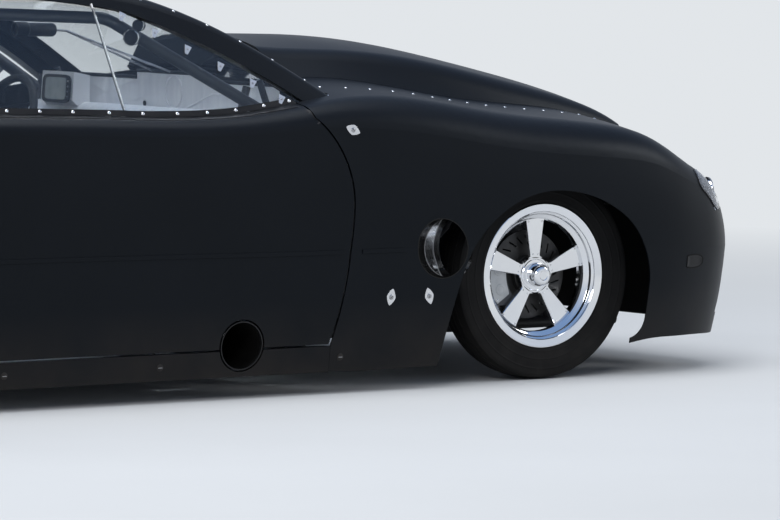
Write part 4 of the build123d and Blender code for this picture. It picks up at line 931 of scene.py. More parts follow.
class DRAGCAR_OT_brakes(bpy.types.Operator):
    """Slotted front discs and grey calipers"""

    bl_idname = "dragcar.brakes"
    bl_label = "Brakes"

    def execute(self, context):
        for side, word in ((-1, "right"), (1, "left")):
            place = wheel_place(FRONT_HUB, side)
            disc = Shape()
            disc.lathe(
                [
                    (-0.0123, 0.0), (-0.0123, 0.061), (-0.013, 0.062), (-0.034, 0.062), (-0.034, 0.084),
                    (-0.0343, 0.141), (-0.0348, 0.142), (-0.0432, 0.142), (-0.044, 0.141), (-0.044, 0.0),
                ],
                place, 96,
            )
            slots = Shape()
            for number in range(24):
                turn = place @ Matrix.Rotation(2 * math.pi * number / 24, 4, "Z")
                turn = turn @ Matrix.Translation((0.112, 0.0, -0.039)) @ Matrix.Rotation(0.55, 4, "Z")
                slots.block((-0.016, -0.0028, -0.012), (0.016, 0.0028, 0.012), turn)

            def cut(piece, slots=slots):
                tool_mesh = bpy.data.meshes.new("slots")
                tool_mesh.from_pydata([tuple(v) for v in slots.verts], [], slots.faces)
                work = bmesh.new()
                work.from_mesh(tool_mesh)
                bmesh.ops.recalc_face_normals(work, faces=work.faces)
                work.to_mesh(tool_mesh)
                work.free()
                tool = bpy.data.objects.new("slots", tool_mesh)
                bpy.context.scene.collection.objects.link(tool)
                cutter = piece.modifiers.new("slots", "BOOLEAN")
                cutter.operation = "DIFFERENCE"
                cutter.object = tool
                cutter.solver = "EXACT"
                bpy.context.view_layer.update()
                graph = bpy.context.evaluated_depsgraph_get()
                result = bpy.data.meshes.new_from_object(piece.evaluated_get(graph))
                piece.modifiers.clear()
                piece.data = result
                bpy.data.objects.remove(tool)

            disc.make(f"slotted_disc_{word}", "iron", f"wheel_front_{word}", cut=cut, angle=30.0,
                      replaces=(f"brake_disc_{word}",), slot="disc_iron")

            caliper = Shape()
            low, high = math.radians(158.0), math.radians(214.0)
            # Outer half, inner half and the bridge between them: inner and outer radius, top and bottom
            halves = [
                (0.1005, 0.1665, -0.0065, -0.0275),
                (0.1005, 0.1665, -0.0505, -0.0715),
                (0.1475, 0.1672, -0.0270, -0.0510),
            ]
            for inner, outer, top, bottom in halves:
                rows = []
                for step in range(13):
                    t = low + (high - low) * step / 12
                    squeeze = 0.006 * (abs(step - 6) / 6) ** 4
                    points = [(inner + squeeze, top), (outer - squeeze, top), (outer - squeeze, bottom),
                              (inner + squeeze, bottom)]
                    rows.append([(r * math.cos(t), r * math.sin(t), z) for r, z in points])
                caliper.grid(rows, close_columns=True, caps=True, place=place)
            for angle in (172.0, 200.0):
                t = math.radians(angle)
                spot = Matrix.Translation((0.130 * math.cos(t), 0.130 * math.sin(t), 0.0))
                caliper.lathe([(-0.008, 0.0185), (-0.0062, 0.0185), (-0.0052, 0.0172), (-0.0052, 0.012),
                               (-0.0062, 0.0112), (-0.0062, 0.0)], place @ spot, 28)
            caliper.kind = 1
            for angle in (161.5, 210.5):
                t = math.radians(angle)
                spot = place @ Vector((0.155 * math.cos(t), 0.155 * math.sin(t), -0.0065))
                caliper.dome(spot, (place.to_3x3() @ Vector((0.0, 0.0, 1.0))), 0.005, 0.003, 6)
            caliper.make(f"caliper_{word}", "caliper bright", f"knuckle_{word}_body", bevel=0.0012)
        return {"FINISHED"}


def oval(half_x, half_y, power=2.0, steps=24):
    """Outline of a rounded plate."""
    points = []
    for step in range(steps):
        t = 2 * math.pi * step / steps
        c, s = math.cos(t), math.sin(t)
        points.append((half_x * math.copysign(abs(c) ** (2 / power), c),
                       half_y * math.copysign(abs(s) ** (2 / power), s)))
    return points


class DRAGCAR_OT_rivets(bpy.types.Operator):
    """Rivets along the scoop's foot"""

    bl_idname = "dragcar.rivets"
    bl_label = "Scoop rivets"

    # Places of the row, ahead of the front axle, with the half width there
    ROW = [(-0.760, 0.655), (-0.650, 0.700), (-0.500, 0.712), (-0.350, 0.690), (-0.200, 0.652),
           (-0.050, 0.628), (0.100, 0.612), (0.250, 0.590), (0.400, 0.545), (0.520, 0.470),
           (0.590, 0.380), (0.625, 0.250), (0.640, 0.0)]
    PITCH = 0.083

    def execute(self, context):
        settings = context.scene.dragcar_fasteners
        path = [Vector((x, y, 0.0)) for x, y in self.ROW]
        spots = []
        left_over = 0.0
        for a, b in zip(path, path[1:]):
            run = (b - a).length
            along = left_over
            while along < run:
                spots.append(a + (b - a) * (along / run))
                along += self.PITCH
            left_over = along - run
        shape = Shape()
        for spot in spots:
            point, normal = from_above("front_clip hood_scoop", ahead(spot.x), -spot.y)
            shape.dome(point, normal, settings.rivet_radius, 0.0028)
        shape.mirror()
        shape.make("scoop_rivets", "bright", CHASSIS)
        return {"FINISHED"}


class DRAGCAR_OT_side_windows(bpy.types.Operator):
    """Black edging, sill strips, screws and silver tabs of the side windows"""

    bl_idname = "dragcar.side_windows"
    bl_label = "Side window edging"

    # Places ahead of the front axle, the tabs with their heights
    SCREWS = [-2.095, -1.981, -1.867, -1.752, -1.625, -1.506, -1.383, -1.275, -1.170, -1.065, -0.968]
    TABS = [(-1.500, 1.202), (-1.398, 1.150), (-1.295, 1.098), (-1.191, 1.044), (-1.088, 0.990),
            (-0.995, 0.940)]
    SILL_REAR, SILL_FRONT = -2.135, -0.925
    # The strip's middle lines above and below the door's top edge, and its half widths there as shares
    GLASS_LIFT, SKIN_DROP = 0.0095, 0.006
    GLASS_SHARE, SKIN_SHARE = 0.28, 0.19

    def sill(self, x):
        """Points on the glass just above the door's top edge and on the door below it, with normals."""
        for y in (-0.812, -0.820, -0.828, -0.836, -0.844):
            top = hit("door_right", (ahead(x), y, 2.0), (0.0, 0.0, -1.0))
            if top and top[0].z > 0.7:
                break
        glass = hit("door_window_right", (ahead(x), -1.5, top[0].z + self.GLASS_LIFT), (0.0, 1.0, 0.0))
        skin = hit("door_right", (ahead(x), -1.5, top[0].z - self.SKIN_DROP), (0.0, 1.0, 0.0))
        return (glass, skin) if glass and skin and glass[0].y < -0.6 else None

    def execute(self, context):
        settings = context.scene.dragcar_fasteners
        glass_half = settings.strip_width * self.GLASS_SHARE
        skin_half = settings.strip_width * self.SKIN_SHARE
        for word in ("right", "left"):
            band = Shape()
            places, points, normals, skin_points, skin_normals = [], [], [], [], []
            for step in range(61):
                x = self.SILL_REAR + (self.SILL_FRONT - self.SILL_REAR) * step / 60
                found = self.sill(x)
                if found:
                    (point, normal), (skin_point, skin_normal) = found
                    places.append(x)
                    points.append(point)
                    normals.append(normal)
                    skin_points.append(skin_point)
                    skin_normals.append(skin_normal)
            band.strip(points, normals, (-glass_half, glass_half), 0.0022)
            band.strip(skin_points, skin_normals, (-skin_half, skin_half), 0.0012)
            band.kind = 1
            for x in self.SCREWS:
                if not places[0] <= x <= places[-1]:
                    continue
                index = max(i for i, at in enumerate(places) if at <= x)
                index = min(index, len(places) - 2)
                share = (x - places[index]) / (places[index + 1] - places[index])
                normal = normals[index]
                point = points[index].lerp(points[index + 1], share) + normal * 0.002
                band.dome(point, normal, settings.screw_radius * 0.85, 0.0025)
            if word == "left":
                band = band.other_side()
            band.make(f"window_sill_{word}", "trim bright", f"door_{word}_body")

            tabs = Shape()
            for x, z in self.TABS:
                found = hit("door_window_right", (ahead(x), -1.5, z - 0.020), (0.0, 1.0, 0.0))
                if found is None:
                    continue
                point, normal = found
                place = facing(point, normal) @ Matrix.Rotation(math.radians(-28.0), 4, "Z")
                tabs.kind = 0
                outline = [(-0.005, -0.017), (0.005, -0.017), (0.012, 0.013), (-0.012, 0.013)]
                tabs.plate(outline, 0.0028, place)
                tabs.kind = 1
                tabs.dome(point + normal * 0.0028, normal, 0.0042, 0.002)
            if word == "left":
                tabs = tabs.other_side()
            tabs.make(f"window_tabs_{word}", "sheet steel", f"door_{word}_body", bevel=0.0005)
        return {"FINISHED"}


class DRAGCAR_OT_glass_edging(bpy.types.Operator):
    """Screws and black borders of the fixed windows"""

    bl_idname = "dragcar.glass_edging"
    bl_label = "Fixed window edging"

    PILLAR = [(-0.800, 0.768), (-0.876, 0.747), (-0.982, 0.727), (-1.088, 0.706), (-1.196, 0.684),
              (-1.304, 0.661), (-1.412, 0.640)]

    def execute(self, context):
        settings = context.scene.dragcar_fasteners
        screws = Shape()
        for x, y in self.PILLAR:
            point, normal = from_above("main_shell front_clip windshield", ahead(x), -y)
            screws.dome(point, normal, settings.screw_radius * 0.8, 0.0025)
        screws.mirror()
        for number in range(11):
            y = -0.5 + number * 0.1
            point, normal = from_above("main_shell windshield", ahead(-1.522), y)
            screws.dome(point, normal, settings.screw_radius * 0.8, 0.0025)
        for number in range(10):
            y = -0.495 + number * 0.11
            point, normal = from_above("main_shell rear_window", ahead(-2.478), y)
            screws.dome(point, normal, settings.screw_radius * 0.8, 0.0025)
            point, normal = from_above("main_shell rear_window", ahead(-3.150), y * 1.06)
            screws.dome(point, normal, settings.screw_radius * 0.8, 0.0025)
        screws.make("window_screws", "bright", CHASSIS)

        borders = Shape()
        outlines = [
            ("windshield", [(-1.494, 0.566), (-0.760, 0.716)], 0.022),
            ("windshield", [(-1.494, 0.566), (-1.494, -0.566)], 0.022),
            ("rear_window", [(-2.506, 0.496), (-3.124, 0.538)], 0.026),
            ("rear_window", [(-2.506, 0.496), (-2.506, -0.496)], 0.026),
            ("rear_window", [(-3.124, 0.538), (-3.124, -0.538)], 0.026),
        ]
        for node, ((xa, ya), (xb, yb)), width in outlines:
            sides = (1,) if abs(ya + yb) < 0.01 else (1, -1)
            for side in sides:
                points, normals = [], []
                for step in range(25):
                    share = step / 24
                    x, y = ahead(xa + (xb - xa) * share), side * (ya + (yb - ya) * share)
                    found = hit(node, (x, y, 2.0), (0.0, 0.0, -1.0))
                    if found:
                        points.append(found[0])
                        normals.append(found[1])
                if len(points) > 2:
                    borders.strip(points, normals, (-width / 2, width / 2), 0.0012)
        borders.make("window_borders", "trim", CHASSIS)
        return {"FINISHED"}


class DRAGCAR_OT_body_fasteners(bpy.types.Operator):
    """Quick-release plates, studs and the side marker recesses"""

    bl_idname = "dragcar.body_fasteners"
    bl_label = "Body fasteners"

    PLATES = [(-0.803, 0.824, -22.0), (-0.662, 0.297, 76.0), (-0.519, 0.295, 106.0)]
    STUDS = [(-0.842, 0.116), (-1.500, 0.112), (-2.050, 0.112)]

    def execute(self, context):
        plates = Shape()
        for x, z, turn in self.PLATES:
            point, normal = from_right("front_clip door_right", ahead(x), z)
            place = facing(point - normal * 0.0012, normal) @ Matrix.Rotation(math.radians(turn), 4, "Z")
            plates.kind = 0
            plates.plate(oval(0.0270, 0.0165, 1.35), 0.0032, place)
            plates.kind = 1
            plates.dome(point + normal * 0.0015, normal, 0.0085, 0.0028, 16)
            aslant = Matrix.Rotation(math.radians(turn - 30.0), 4, "Z")
            slot = facing(point + normal * 0.0036, normal) @ aslant
            # The screw slot is a raised black bar: painted shade of a sunk slot
            plates.kind = 2
            plates.block((-0.006, -0.0009, 0.0), (0.006, 0.0009, 0.0008), slot)
        plates.mirror()
        plates.make("release_plates", "bright steel inner_black", CHASSIS, bevel=0.0004)

        studs = Shape()
        for x, z in self.STUDS:
            point, normal = from_right("rockers front_clip main_shell", ahead(x), z)
            studs.kind = 0
            studs.dome(point, normal, 0.0115, 0.0025, 20)
            studs.kind = 1
            place = facing(point + normal * 0.0022, normal)
            studs.block((-0.007, -0.001, 0.0), (0.007, 0.001, 0.0009), place)
        studs.mirror()
        studs.make("rocker_studs", "trim steel", CHASSIS)

        marker = Shape()
        centre, normal = from_right("front_clip", ahead(0.560), 0.362)
        place = facing(centre, normal)
        rim_rows = []
        # Rings of the rim as half length, half height and height over the skin
        rings = [(0.058, 0.0235, 0.0006), (0.0545, 0.0210, 0.0022), (0.0515, 0.0190, 0.0006)]
        for half_x, half_z, lift in rings:
            row = []
            for x, y in oval(half_x, half_z, 2.4, 40):
                spot = place @ Vector((max(x, -0.62 * half_x), y, 0.0))
                found = hit("front_clip", spot + normal * 0.2, -normal)
                row.append((found[0] if found else spot) + normal * lift)
            rim_rows.append(row)
        marker.grid(rim_rows, close_columns=True)
        marker.kind = 1
        inner_rows = [rim_rows[-1], [centre.lerp(p, 0.5) + normal * 0.0009 for p in rim_rows[-1]]]
        marker.grid(inner_rows, close_columns=True)
        marker.add(inner_rows[1], [list(range(len(inner_rows[1])))])
        marker.mirror()
        marker.make("side_markers", "inner_black trim", CHASSIS, angle=60.0)
        return {"FINISHED"}


class DRAGCAR_OT_headlamps(bpy.types.Operator):
    """Reflectors and housings behind the clear headlamp lenses"""

    bl_idname = "dragcar.headlamps"
    bl_label = "Headlamps"

    # Heights with the half width that the lens reaches there
    WRAP = [(0.654, -0.792), (0.640, -0.806), (0.622, -0.816), (0.606, -0.820), (0.588, -0.816),
            (0.572, -0.809), (0.556, -0.802), (0.544, -0.798), (0.532, -0.792), (0.522, -0.784)]
    WRAP_INNER = -0.768

    def execute(self, context):
        shape = Shape()
        for y, z, radius in ((-0.720, 0.585, 0.034), (-0.628, 0.572, 0.030), (-0.560, 0.566, 0.022)):
            found = hit("headlamps", (5.0, y, z), (-1.0, 0.0, 0.0))
            if found is None:
                continue
            point, normal = found
            back = point + Vector((-0.050, 0.0, 0.0))
            place = facing(back, Vector((1.0, -0.15, 0.0)))
            shape.kind = 0
            bowl = [(0.024, radius), (0.022, radius - 0.001), (0.012, radius * 0.82), (0.003, radius * 0.5),
                    (0.0, 0.004), (0.0, 0.0)]
            shape.lathe(bowl, place, 40)
            shape.lathe([(0.004, 0.0), (0.004, 0.006), (0.014, 0.005), (0.016, 0.0)], place, 20)
            shape.kind = 1
            collar = [(0.024, radius), (0.0255, radius + 0.002), (0.0255, radius + 0.006),
                      (0.020, radius + 0.007)]
            shape.lathe(collar, place, 40)
        shape.mirror()
        shape.make("lamp_bowls", "reflector lamp_inner", CHASSIS)

        # The lens runs round onto the fender: silver behind, clear over it, with a black gasket
        wrap, cover, gasket = Shape(), Shape(), Shape()
        inner_rows, outer_rows = [], []
        for z, outer in self.WRAP:
            inner_row, outer_row = [], []
            for step in range(9):
                y = self.WRAP_INNER + (outer - self.WRAP_INNER) * step / 8
                # The narrow gap round the lens is stepped over
                near = [hit("front_clip headlamps", (5.0, y + aside, z), (-1.0, 0.0, 0.0))
                        for aside in (-0.0015, 0.0, 0.0015)]
                point, normal = max((found for found in near if found), key=lambda found: found[0].x)
                inner_row.append(point + normal * 0.0008)
                outer_row.append(point + normal * (0.0034 if 0 < step < 8 else 0.0012))
            inner_rows.append(inner_row)
            outer_rows.append(outer_row)
        wrap.grid(inner_rows)
        wrap.mirror()
        wrap.make("lamp_wraps", "lamp_inner", CHASSIS, angle=60.0)
        cover.grid(outer_rows)
        cover.mirror()
        cover.make("lamp_wrap_lenses", "lens", CHASSIS, angle=60.0)
        gasket.tube([row[-1] for row in inner_rows], 0.0024, 8)
        gasket.mirror()
        gasket.make("lamp_gaskets", "trim", CHASSIS)
        return {"FINISHED"}


class DRAGCAR_OT_cabin(bpy.types.Operator):
    """Tinwork, display face, door stay, pods, braces and shift lamp inside"""

    bl_idname = "dragcar.cabin"
    bl_label = "Cabin"

    def execute(self, context):
        screen = Shape()
        centre = middle("display")
        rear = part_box("display")[0][0]
        point, normal = hit("display", (rear - 0.5, centre.y, centre.z), (1.0, 0.0, 0.0))
        place = facing(point, normal)
        screen.kind = 0
        screen.plate(oval(0.088, 0.046, 6.0, 32), 0.006, place)
        screen.kind = 1
        screen.plate(oval(0.066, 0.036, 8.0, 32), 0.0075, place)
        screen.kind = 2
        for number in range(4):
            spot = place @ Vector((0.076, -0.026 + 0.017 * number, 0.006))
            screen.dome(spot, normal, 0.0035, 0.002, 12)
        screen.make("display_face", "trim screen steel", CHASSIS, bevel=0.001)

        rod = Shape()
        rod.tube([(ahead(-1.507), -0.700, 0.889), (ahead(-1.598), -0.655, 1.222)], 0.0045, 12)
        rod.make("door_stay", "bright", CHASSIS)

        pods = Shape()
        for x, y, z, radius in ((-1.398, -0.606, 1.150, 0.019), (-1.424, -0.606, 1.113, 0.026)):
            place = facing(Vector((ahead(x), y, z)), Vector((-0.7, -0.7, 0.0)))
            pods.kind = 0
            pods.lathe([(-0.022, 0.0), (-0.022, radius * 0.8), (-0.014, radius), (0.006, radius)], place, 28)
            pods.kind = 1
            bezel = [(0.006, radius), (0.009, radius * 0.98), (0.010, radius * 0.9), (0.007, radius * 0.82)]
            pods.lathe(bezel, place, 28)
            pods.kind = 0
            pods.lathe([(0.007, radius * 0.83), (0.005, 0.0)], place, 28)
        pods.tube([(ahead(-1.412), -0.596, 1.095), (ahead(-1.392), -0.590, 1.165)], 0.006)
        pods.make("pillar_pods", "trim bright", CHASSIS)

        # Bare sheet between the dash and the foot of the windshield, creased bay by bay
        tin = Shape()
        wall = ahead(-0.884)
        for left, right, top in ((0.610, 0.250, 0.950), (0.248, -0.228, 0.972), (-0.230, -0.610, 0.950)):
            middle_y, middle_z = (left + right) / 2, (0.846 + top) / 2
            face = [(wall, left, 0.846), (wall, right, 0.846), (wall, right, top), (wall, left, top),
                    (wall - 0.009, middle_y, middle_z)]
            tin.add(face, [(0, 1, 4), (1, 2, 4), (2, 3, 4), (3, 0, 4)])
            back = [(x + 0.0015, y, z) for x, y, z in face]
            tin.add(back, [(1, 0, 4), (2, 1, 4), (3, 2, 4), (0, 3, 4)])
            tin.kind = 1
            tin.tube([(wall + 0.001, left, top + 0.003), (wall + 0.001, right, top + 0.003)], 0.006, 12)
            tin.kind = 0
        place = Matrix(((0.0, 0.0, -1.0, wall - 0.0075), (-1.0, 0.0, 0.0, 0.011), (0.0, 1.0, 0.0, 0.914),
                        (0.0, 0.0, 0.0, 1.0)))
        tin.lathe([(-0.004, 0.0535), (0.0022, 0.0535), (0.0030, 0.0520), (0.0022, 0.0505), (-0.004, 0.0505)],
                  place, 64, loop=True)
        tin.kind = 1
        tin.dome(Vector((wall - 0.0045, 0.197, 0.869)), Vector((-1.0, 0.0, 0.0)), 0.009, 0.003, 20)
        tin.kind = 0
        loom = [(wall - 0.008, y, z) for y, z in ((-0.044, 0.855), (-0.225, 0.912), (-0.412, 0.918))]
        tin.tube(loom, 0.004)
        for y in (-0.55, -0.45, -0.30, -0.12, 0.10, 0.34, 0.46, 0.56):
            for z in (0.852, 0.942):
                tin.dome(Vector((wall - 0.0012, y, z)), Vector((-1.0, 0.0, 0.0)), 0.003, 0.0018, 10)
        tin.make("cowl_tinwork", "tin trim", CHASSIS, angle=10.0)

        braces = Shape()
        braces.tube([(ahead(-1.016), -0.628, 0.953), (ahead(-1.046), -0.628, 0.850)], 0.013, 16)
        braces.tube([(ahead(-0.967), -0.622, 0.974), (ahead(-0.930), -0.622, 0.870)], 0.011, 16)
        braces.mirror()
        braces.make("pillar_braces", "tube", CHASSIS)

        lamp = Shape()
        foot = Vector((ahead(-1.285), 0.100, 1.117))
        place = facing(foot, Vector((-1.0, 0.0, 0.02)))
        lamp.lathe([(0.0, 0.0), (0.0, 0.018), (0.006, 0.022), (0.100, 0.022), (0.104, 0.025), (0.140, 0.025),
                    (0.146, 0.023), (0.146, 0.019), (0.138, 0.017), (0.138, 0.0)], place, 32)
        lamp.kind = 1
        for y, z in ((0.040, 0.976), (0.150, 0.976)):
            lamp.tube([foot, foot + Vector((0.045, 0.0, -0.004)), (wall, y, z)], 0.0038, 10)
        lamp.make("shift_lamp", "trim steel", CHASSIS)
        return {"FINISHED"}


class DRAGCAR_OT_body_lines(bpy.types.Operator):
    """Crease beads along the doors and fenders, and black linings in the side pipes: soot, closed deep inside
    by a disc that is painted shade
    """

    bl_idname = "dragcar.body_lines"
    bl_label = "Body lines and pipe linings"

    # Height of the crease at places ahead of the front axle
    CREASE = [(-2.150, 0.459), (-1.726, 0.455), (-1.368, 0.450), (-1.003, 0.4445), (-0.600, 0.443)]
    DOOR_SPAN = (-2.140, -0.835)
    FENDER_SPAN = (-0.770, -0.607)
    PIPE_RADIUS = 0.076

    def execute(self, context):
        for word in ("right", "left"):
            for panel, (back, front), body in (
                ("door", self.DOOR_SPAN, f"door_{word}_body"), ("fender", self.FENDER_SPAN, CHASSIS),
            ):
                bead = Shape()
                node = "door_right" if panel == "door" else "front_clip"
                points, normals = [], []
                steps = 40 if panel == "door" else 10
                for step in range(steps + 1):
                    x = back + (front - back) * step / steps
                    found = hit(node, (ahead(x), -1.5, between(self.CREASE, x)), (0.0, 1.0, 0.0))
                    if found:
                        points.append(found[0])
                        normals.append(found[1])
                bead.strip(points, normals, (-0.0065, 0.0065), 0.0028)
                if word == "left":
                    bead = bead.other_side()
                bead.make(f"crease_{panel}_{word}", "body", body, bevel=0.0006)

        lining = Shape()
        low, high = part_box("side_exhausts")
        mouth = Matrix.Translation((low[0] + self.PIPE_RADIUS, -0.890, (low[2] + high[2]) / 2))
        place = mouth @ Matrix.Rotation(math.radians(-90.0), 4, "X")
        # Soot-black lining with a closed end 300 mm in: the end disc is painted shade of the pipe's depth
        lining.lathe(
            [(0.006, 0.0724), (0.0, 0.0724), (0.0, 0.0714), (0.300, 0.0714), (0.300, 0.0), (0.302, 0.0),
             (0.302, 0.0724)],
            place, 64, loop=True,
        )
        lining.mirror()
        lining.make("pipe_linings", "soot", CHASSIS)
        return {"FINISHED"}


def coil(shape, foot, head, radius, wire, turns):
    """Spring wire wound round a line, with its end turns laid flat."""
    foot, head = Vector(foot), Vector(head)
    run = head - foot
    place = facing(foot, run)
    points = []
    count = int(turns * 20)
    for step in range(count + 1):
        share = step / count
        turn = 2 * math.pi * turns * share
        flat = 0.6 / turns
        rise = min(1.0, max(0.0, (share - flat) / (1.0 - 2.0 * flat)))
        z = wire + (run.length - 2 * wire) * rise
        points.append(place @ Vector((radius * math.cos(turn), radius * math.sin(turn), z)))
    shape.tube(points, wire, 10)


class DRAGCAR_OT_grille(bpy.types.Operator):
    """Black plate behind the grille's bars, painted shade of the dark space behind them"""

    bl_idname = "dragcar.grille"
    bl_label = "Grille screen"

    def execute(self, context):
        low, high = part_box("grille")
        outline = []
        steps = 24
        for step in range(steps + 1):
            z = low[2] + 0.004 + (high[2] - low[2] - 0.008) * step / steps
            half = None
            for number in range(120):
                y = high[1] - 0.002 - 0.004 * number
                if hit("grille", (low[0] - 0.2, -y, z), (1.0, 0.0, 0.0)):
                    half = y
                    break
            if half:
                outline.append((half - 0.003, z))
        both = [(-y, z) for y, z in outline] + [(y, z) for y, z in reversed(outline)]
        place = Matrix(((0.0, 0.0, 1.0, low[0] - 0.0035), (1.0, 0.0, 0.0, 0.0), (0.0, 1.0, 0.0, 0.0),
                        (0.0, 0.0, 0.0, 1.0)))
        # A flat black plate stands for the shade inside the nose
        screen = Shape()
        screen.plate(both, 0.003, place)
        screen.make("grille_screen", "inner_black", CHASSIS)
        return {"FINISHED"}


class DRAGCAR_OT_springs(bpy.types.Operator):
    """Coil springs round the front struts and the rear dampers"""

    bl_idname = "dragcar.springs"
    bl_label = "Springs"

    def execute(self, context):
        springs = Shape()
        coil(springs, (AXLE_X, -0.600, 0.480), (AXLE_X, -0.600, 0.640), 0.0455, 0.0052, 7.0)
        foot = Vector((REAR_HUB.x - 0.040, -0.230, REAR_HUB.z + 0.010))
        head = Vector((ahead(-2.980), -0.230, 0.620))
        coil(springs, foot.lerp(head, 0.28), foot.lerp(head, 0.86), 0.0325, 0.0048, 7.0)
        springs.mirror()
        springs.make("coil_springs", "steel", CHASSIS)
        return {"FINISHED"}


def pad_shape(line, half, thick, channels, columns=30):
    """Stuffed pad along a line of points and normals: crowned, sides pulled in, sewn channels."""
    shape = Shape()
    rows = []
    count = len(line)
    for index, (point, normal) in enumerate(line):
        share = index / (count - 1)
        end = max(0.0, 1.0 - abs(2.0 * share - 1.0) ** 6) ** 0.5
        pull = 1.0 - 0.035 * (1.0 - (2.0 * share - 1.0) ** 2)
        top, bottom = [], []
        for column in range(columns + 1):
            u = 2.0 * column / columns - 1.0
            crown = end * max(0.0, 1.0 - abs(u) ** 4) ** 0.5
            sewn = sum(math.exp(-(((share - at) / 0.014) ** 2)) for at in channels)
            wrinkle = 0.0012 * crown * math.sin(9.0 * u + 7.0 * share)
            height = 0.004 + thick * crown * (1.0 - 0.42 * min(1.0, sewn)) + wrinkle
            y = u * half * pull * (0.94 + 0.06 * end)
            top.append(point + Vector((0.0, y, 0.0)) + normal * height)
            bottom.append(point + Vector((0.0, y, 0.0)) + normal * 0.0012)
        rows.append(top + bottom[::-1])
    shape.grid(rows, close_columns=True, caps=True)
    return shape


class DRAGCAR_OT_seat_pads(bpy.types.Operator):
    """Cloth pads of the driver's seat and the harness over them"""

    bl_idname = "dragcar.seat_pads"
    bl_label = "Seat pads and harness"

    SEAT_Y = 0.400

    def back_point(self, y, z, lift):
        """Place in front of the seat's back at a height."""
        point, normal = hit("seat", (ahead(-1.350), y, z), (-1.0, 0.0, 0.0))
        return point + normal * lift, normal

    def execute(self, context):
        base = []
        for step in range(41):
            x = ahead(-1.478 - 0.235 * step / 40)
            point, normal = hit("seat", (x, self.SEAT_Y, 1.0), (0.0, 0.0, -1.0))
            base.append((point, normal))
        cushion = pad_shape(base, 0.185, 0.026, (0.33, 0.66))
        piece = cushion.make("seat_cushion", "seat_cloth", CHASSIS, angle=70.0)

        back = [self.back_point(self.SEAT_Y, 0.365 + 0.485 * step / 60, 0.0) for step in range(61)]
        cushion = pad_shape(back, 0.182, 0.028, (0.2, 0.4, 0.6, 0.8))
        piece = cushion.make("seat_back_pad", "seat_cloth", CHASSIS, angle=70.0)

        belts = Shape()
        buckle, buckle_normal = self.back_point(self.SEAT_Y, 0.430, 0.062)
        for side in (-1, 1):
            points, normals = [], []
            for step in range(31):
                share = step / 30
                y = self.SEAT_Y + side * (0.095 - 0.070 * max(0.0, share - 0.45) / 0.55)
                point, normal = self.back_point(y, 0.880 - 0.440 * share, 0.036 + 0.022 * share)
                points.append(point)
                normals.append(normal)
            belts.strip(points, normals, (-0.024, 0.024), 0.0022)
            points, normals = [], []
            for step in range(21):
                share = step / 20
                y = self.SEAT_Y + side * (0.195 - 0.170 * share)
                point, normal = self.back_point(self.SEAT_Y, 0.405 + 0.022 * share, 0.052 + 0.012 * share)
                points.append(Vector((point.x, y, point.z)))
                normals.append(normal)
            belts.strip(points, normals, (-0.024, 0.024), 0.0022)
        belts.kind = 1
        place = facing(buckle, buckle_normal)
        belts.lathe(
            [(-0.004, 0.0), (-0.004, 0.028), (0.010, 0.028), (0.013, 0.025), (0.014, 0.012), (0.017, 0.010),
             (0.018, 0.0)],
            place, 32,
        )
        belts.kind = 2
        belts.block((-0.006, -0.030, 0.012), (0.006, 0.004, 0.019), place)
        belts.make("harness", "red_web sheet bright", CHASSIS, angle=50.0)
        return {"FINISHED"}


class DRAGCAR_OT_chute(bpy.types.Operator):
    """Stuffed parachute pack with its flaps and tie straps"""

    bl_idname = "dragcar.chute"
    bl_label = "Parachute pack"

    def on_pack(self, direction, grow=0.0):
        """Place and outward run on the pack's rounded form in a direction."""
        power = 6.0
        d = Vector(direction).normalized()
        reach = sum(abs(c) ** power for c in d) ** (1.0 / power)
        unit = d / reach
        half = Vector([(b - a) / 2 - 0.003 for a, b in zip(self.low, self.high)])
        out = Vector([math.copysign(abs(c) ** (power - 1.0), c) / h for c, h in zip(unit, half)]).normalized()
        place = middle("parachute_pack") + Vector([c * h for c, h in zip(unit, half)])
        flat = 1.0 - 0.035 * math.cos(3.0 * unit.y) * abs(unit.x)
        pinch = math.exp(-((unit.y / 0.035) ** 2)) * (1.0 if unit.x < -0.2 else 0.0)
        pinch += math.exp(-(((unit.z - 0.25) / 0.04) ** 2)) * (1.0 if unit.x < -0.2 else 0.0)
        puff = 0.0016 * math.sin(11.0 * unit.y + 5.0 * unit.z)
        puff += 0.0014 * math.sin(9.0 * unit.z - 6.0 * unit.x)
        return place + out * (grow + puff - 0.004 * min(1.0, pinch)) * flat, out

    def execute(self, context):
        self.low, self.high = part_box("parachute_pack")
        pack = Shape()
        rows = []
        bands, steps = 72, 120
        for band in range(1, bands):
            tilt = math.pi * band / bands
            row = []
            for step in range(steps):
                turn = 2 * math.pi * step / steps
                direction = (math.cos(tilt), math.sin(tilt) * math.cos(turn), math.sin(tilt) * math.sin(turn))
                row.append(self.on_pack(direction)[0])
            rows.append(row)
        pack.grid(rows, close_columns=True, caps=True)
        piece = pack.make("chute_pack", "cloth", CHASSIS, angle=80.0, replaces=("parachute_pack",))

        straps = Shape()
        for y in (-0.062, 0.062):
            points, normals = [], []
            for step in range(97):
                turn = 2 * math.pi * step / 96
                lean = y / (self.high[1] - self.low[1]) * 2.0
                x, z = math.cos(turn), math.sin(turn)
                place, out = self.on_pack((x, lean * max(abs(x), abs(z)), z), 0.0015)
                points.append(place)
                normals.append(out)
            straps.strip(points, normals, (-0.0125, 0.0125), 0.002)
        straps.make("chute_straps", "red_web", CHASSIS, angle=60.0)
        return {"FINISHED"}


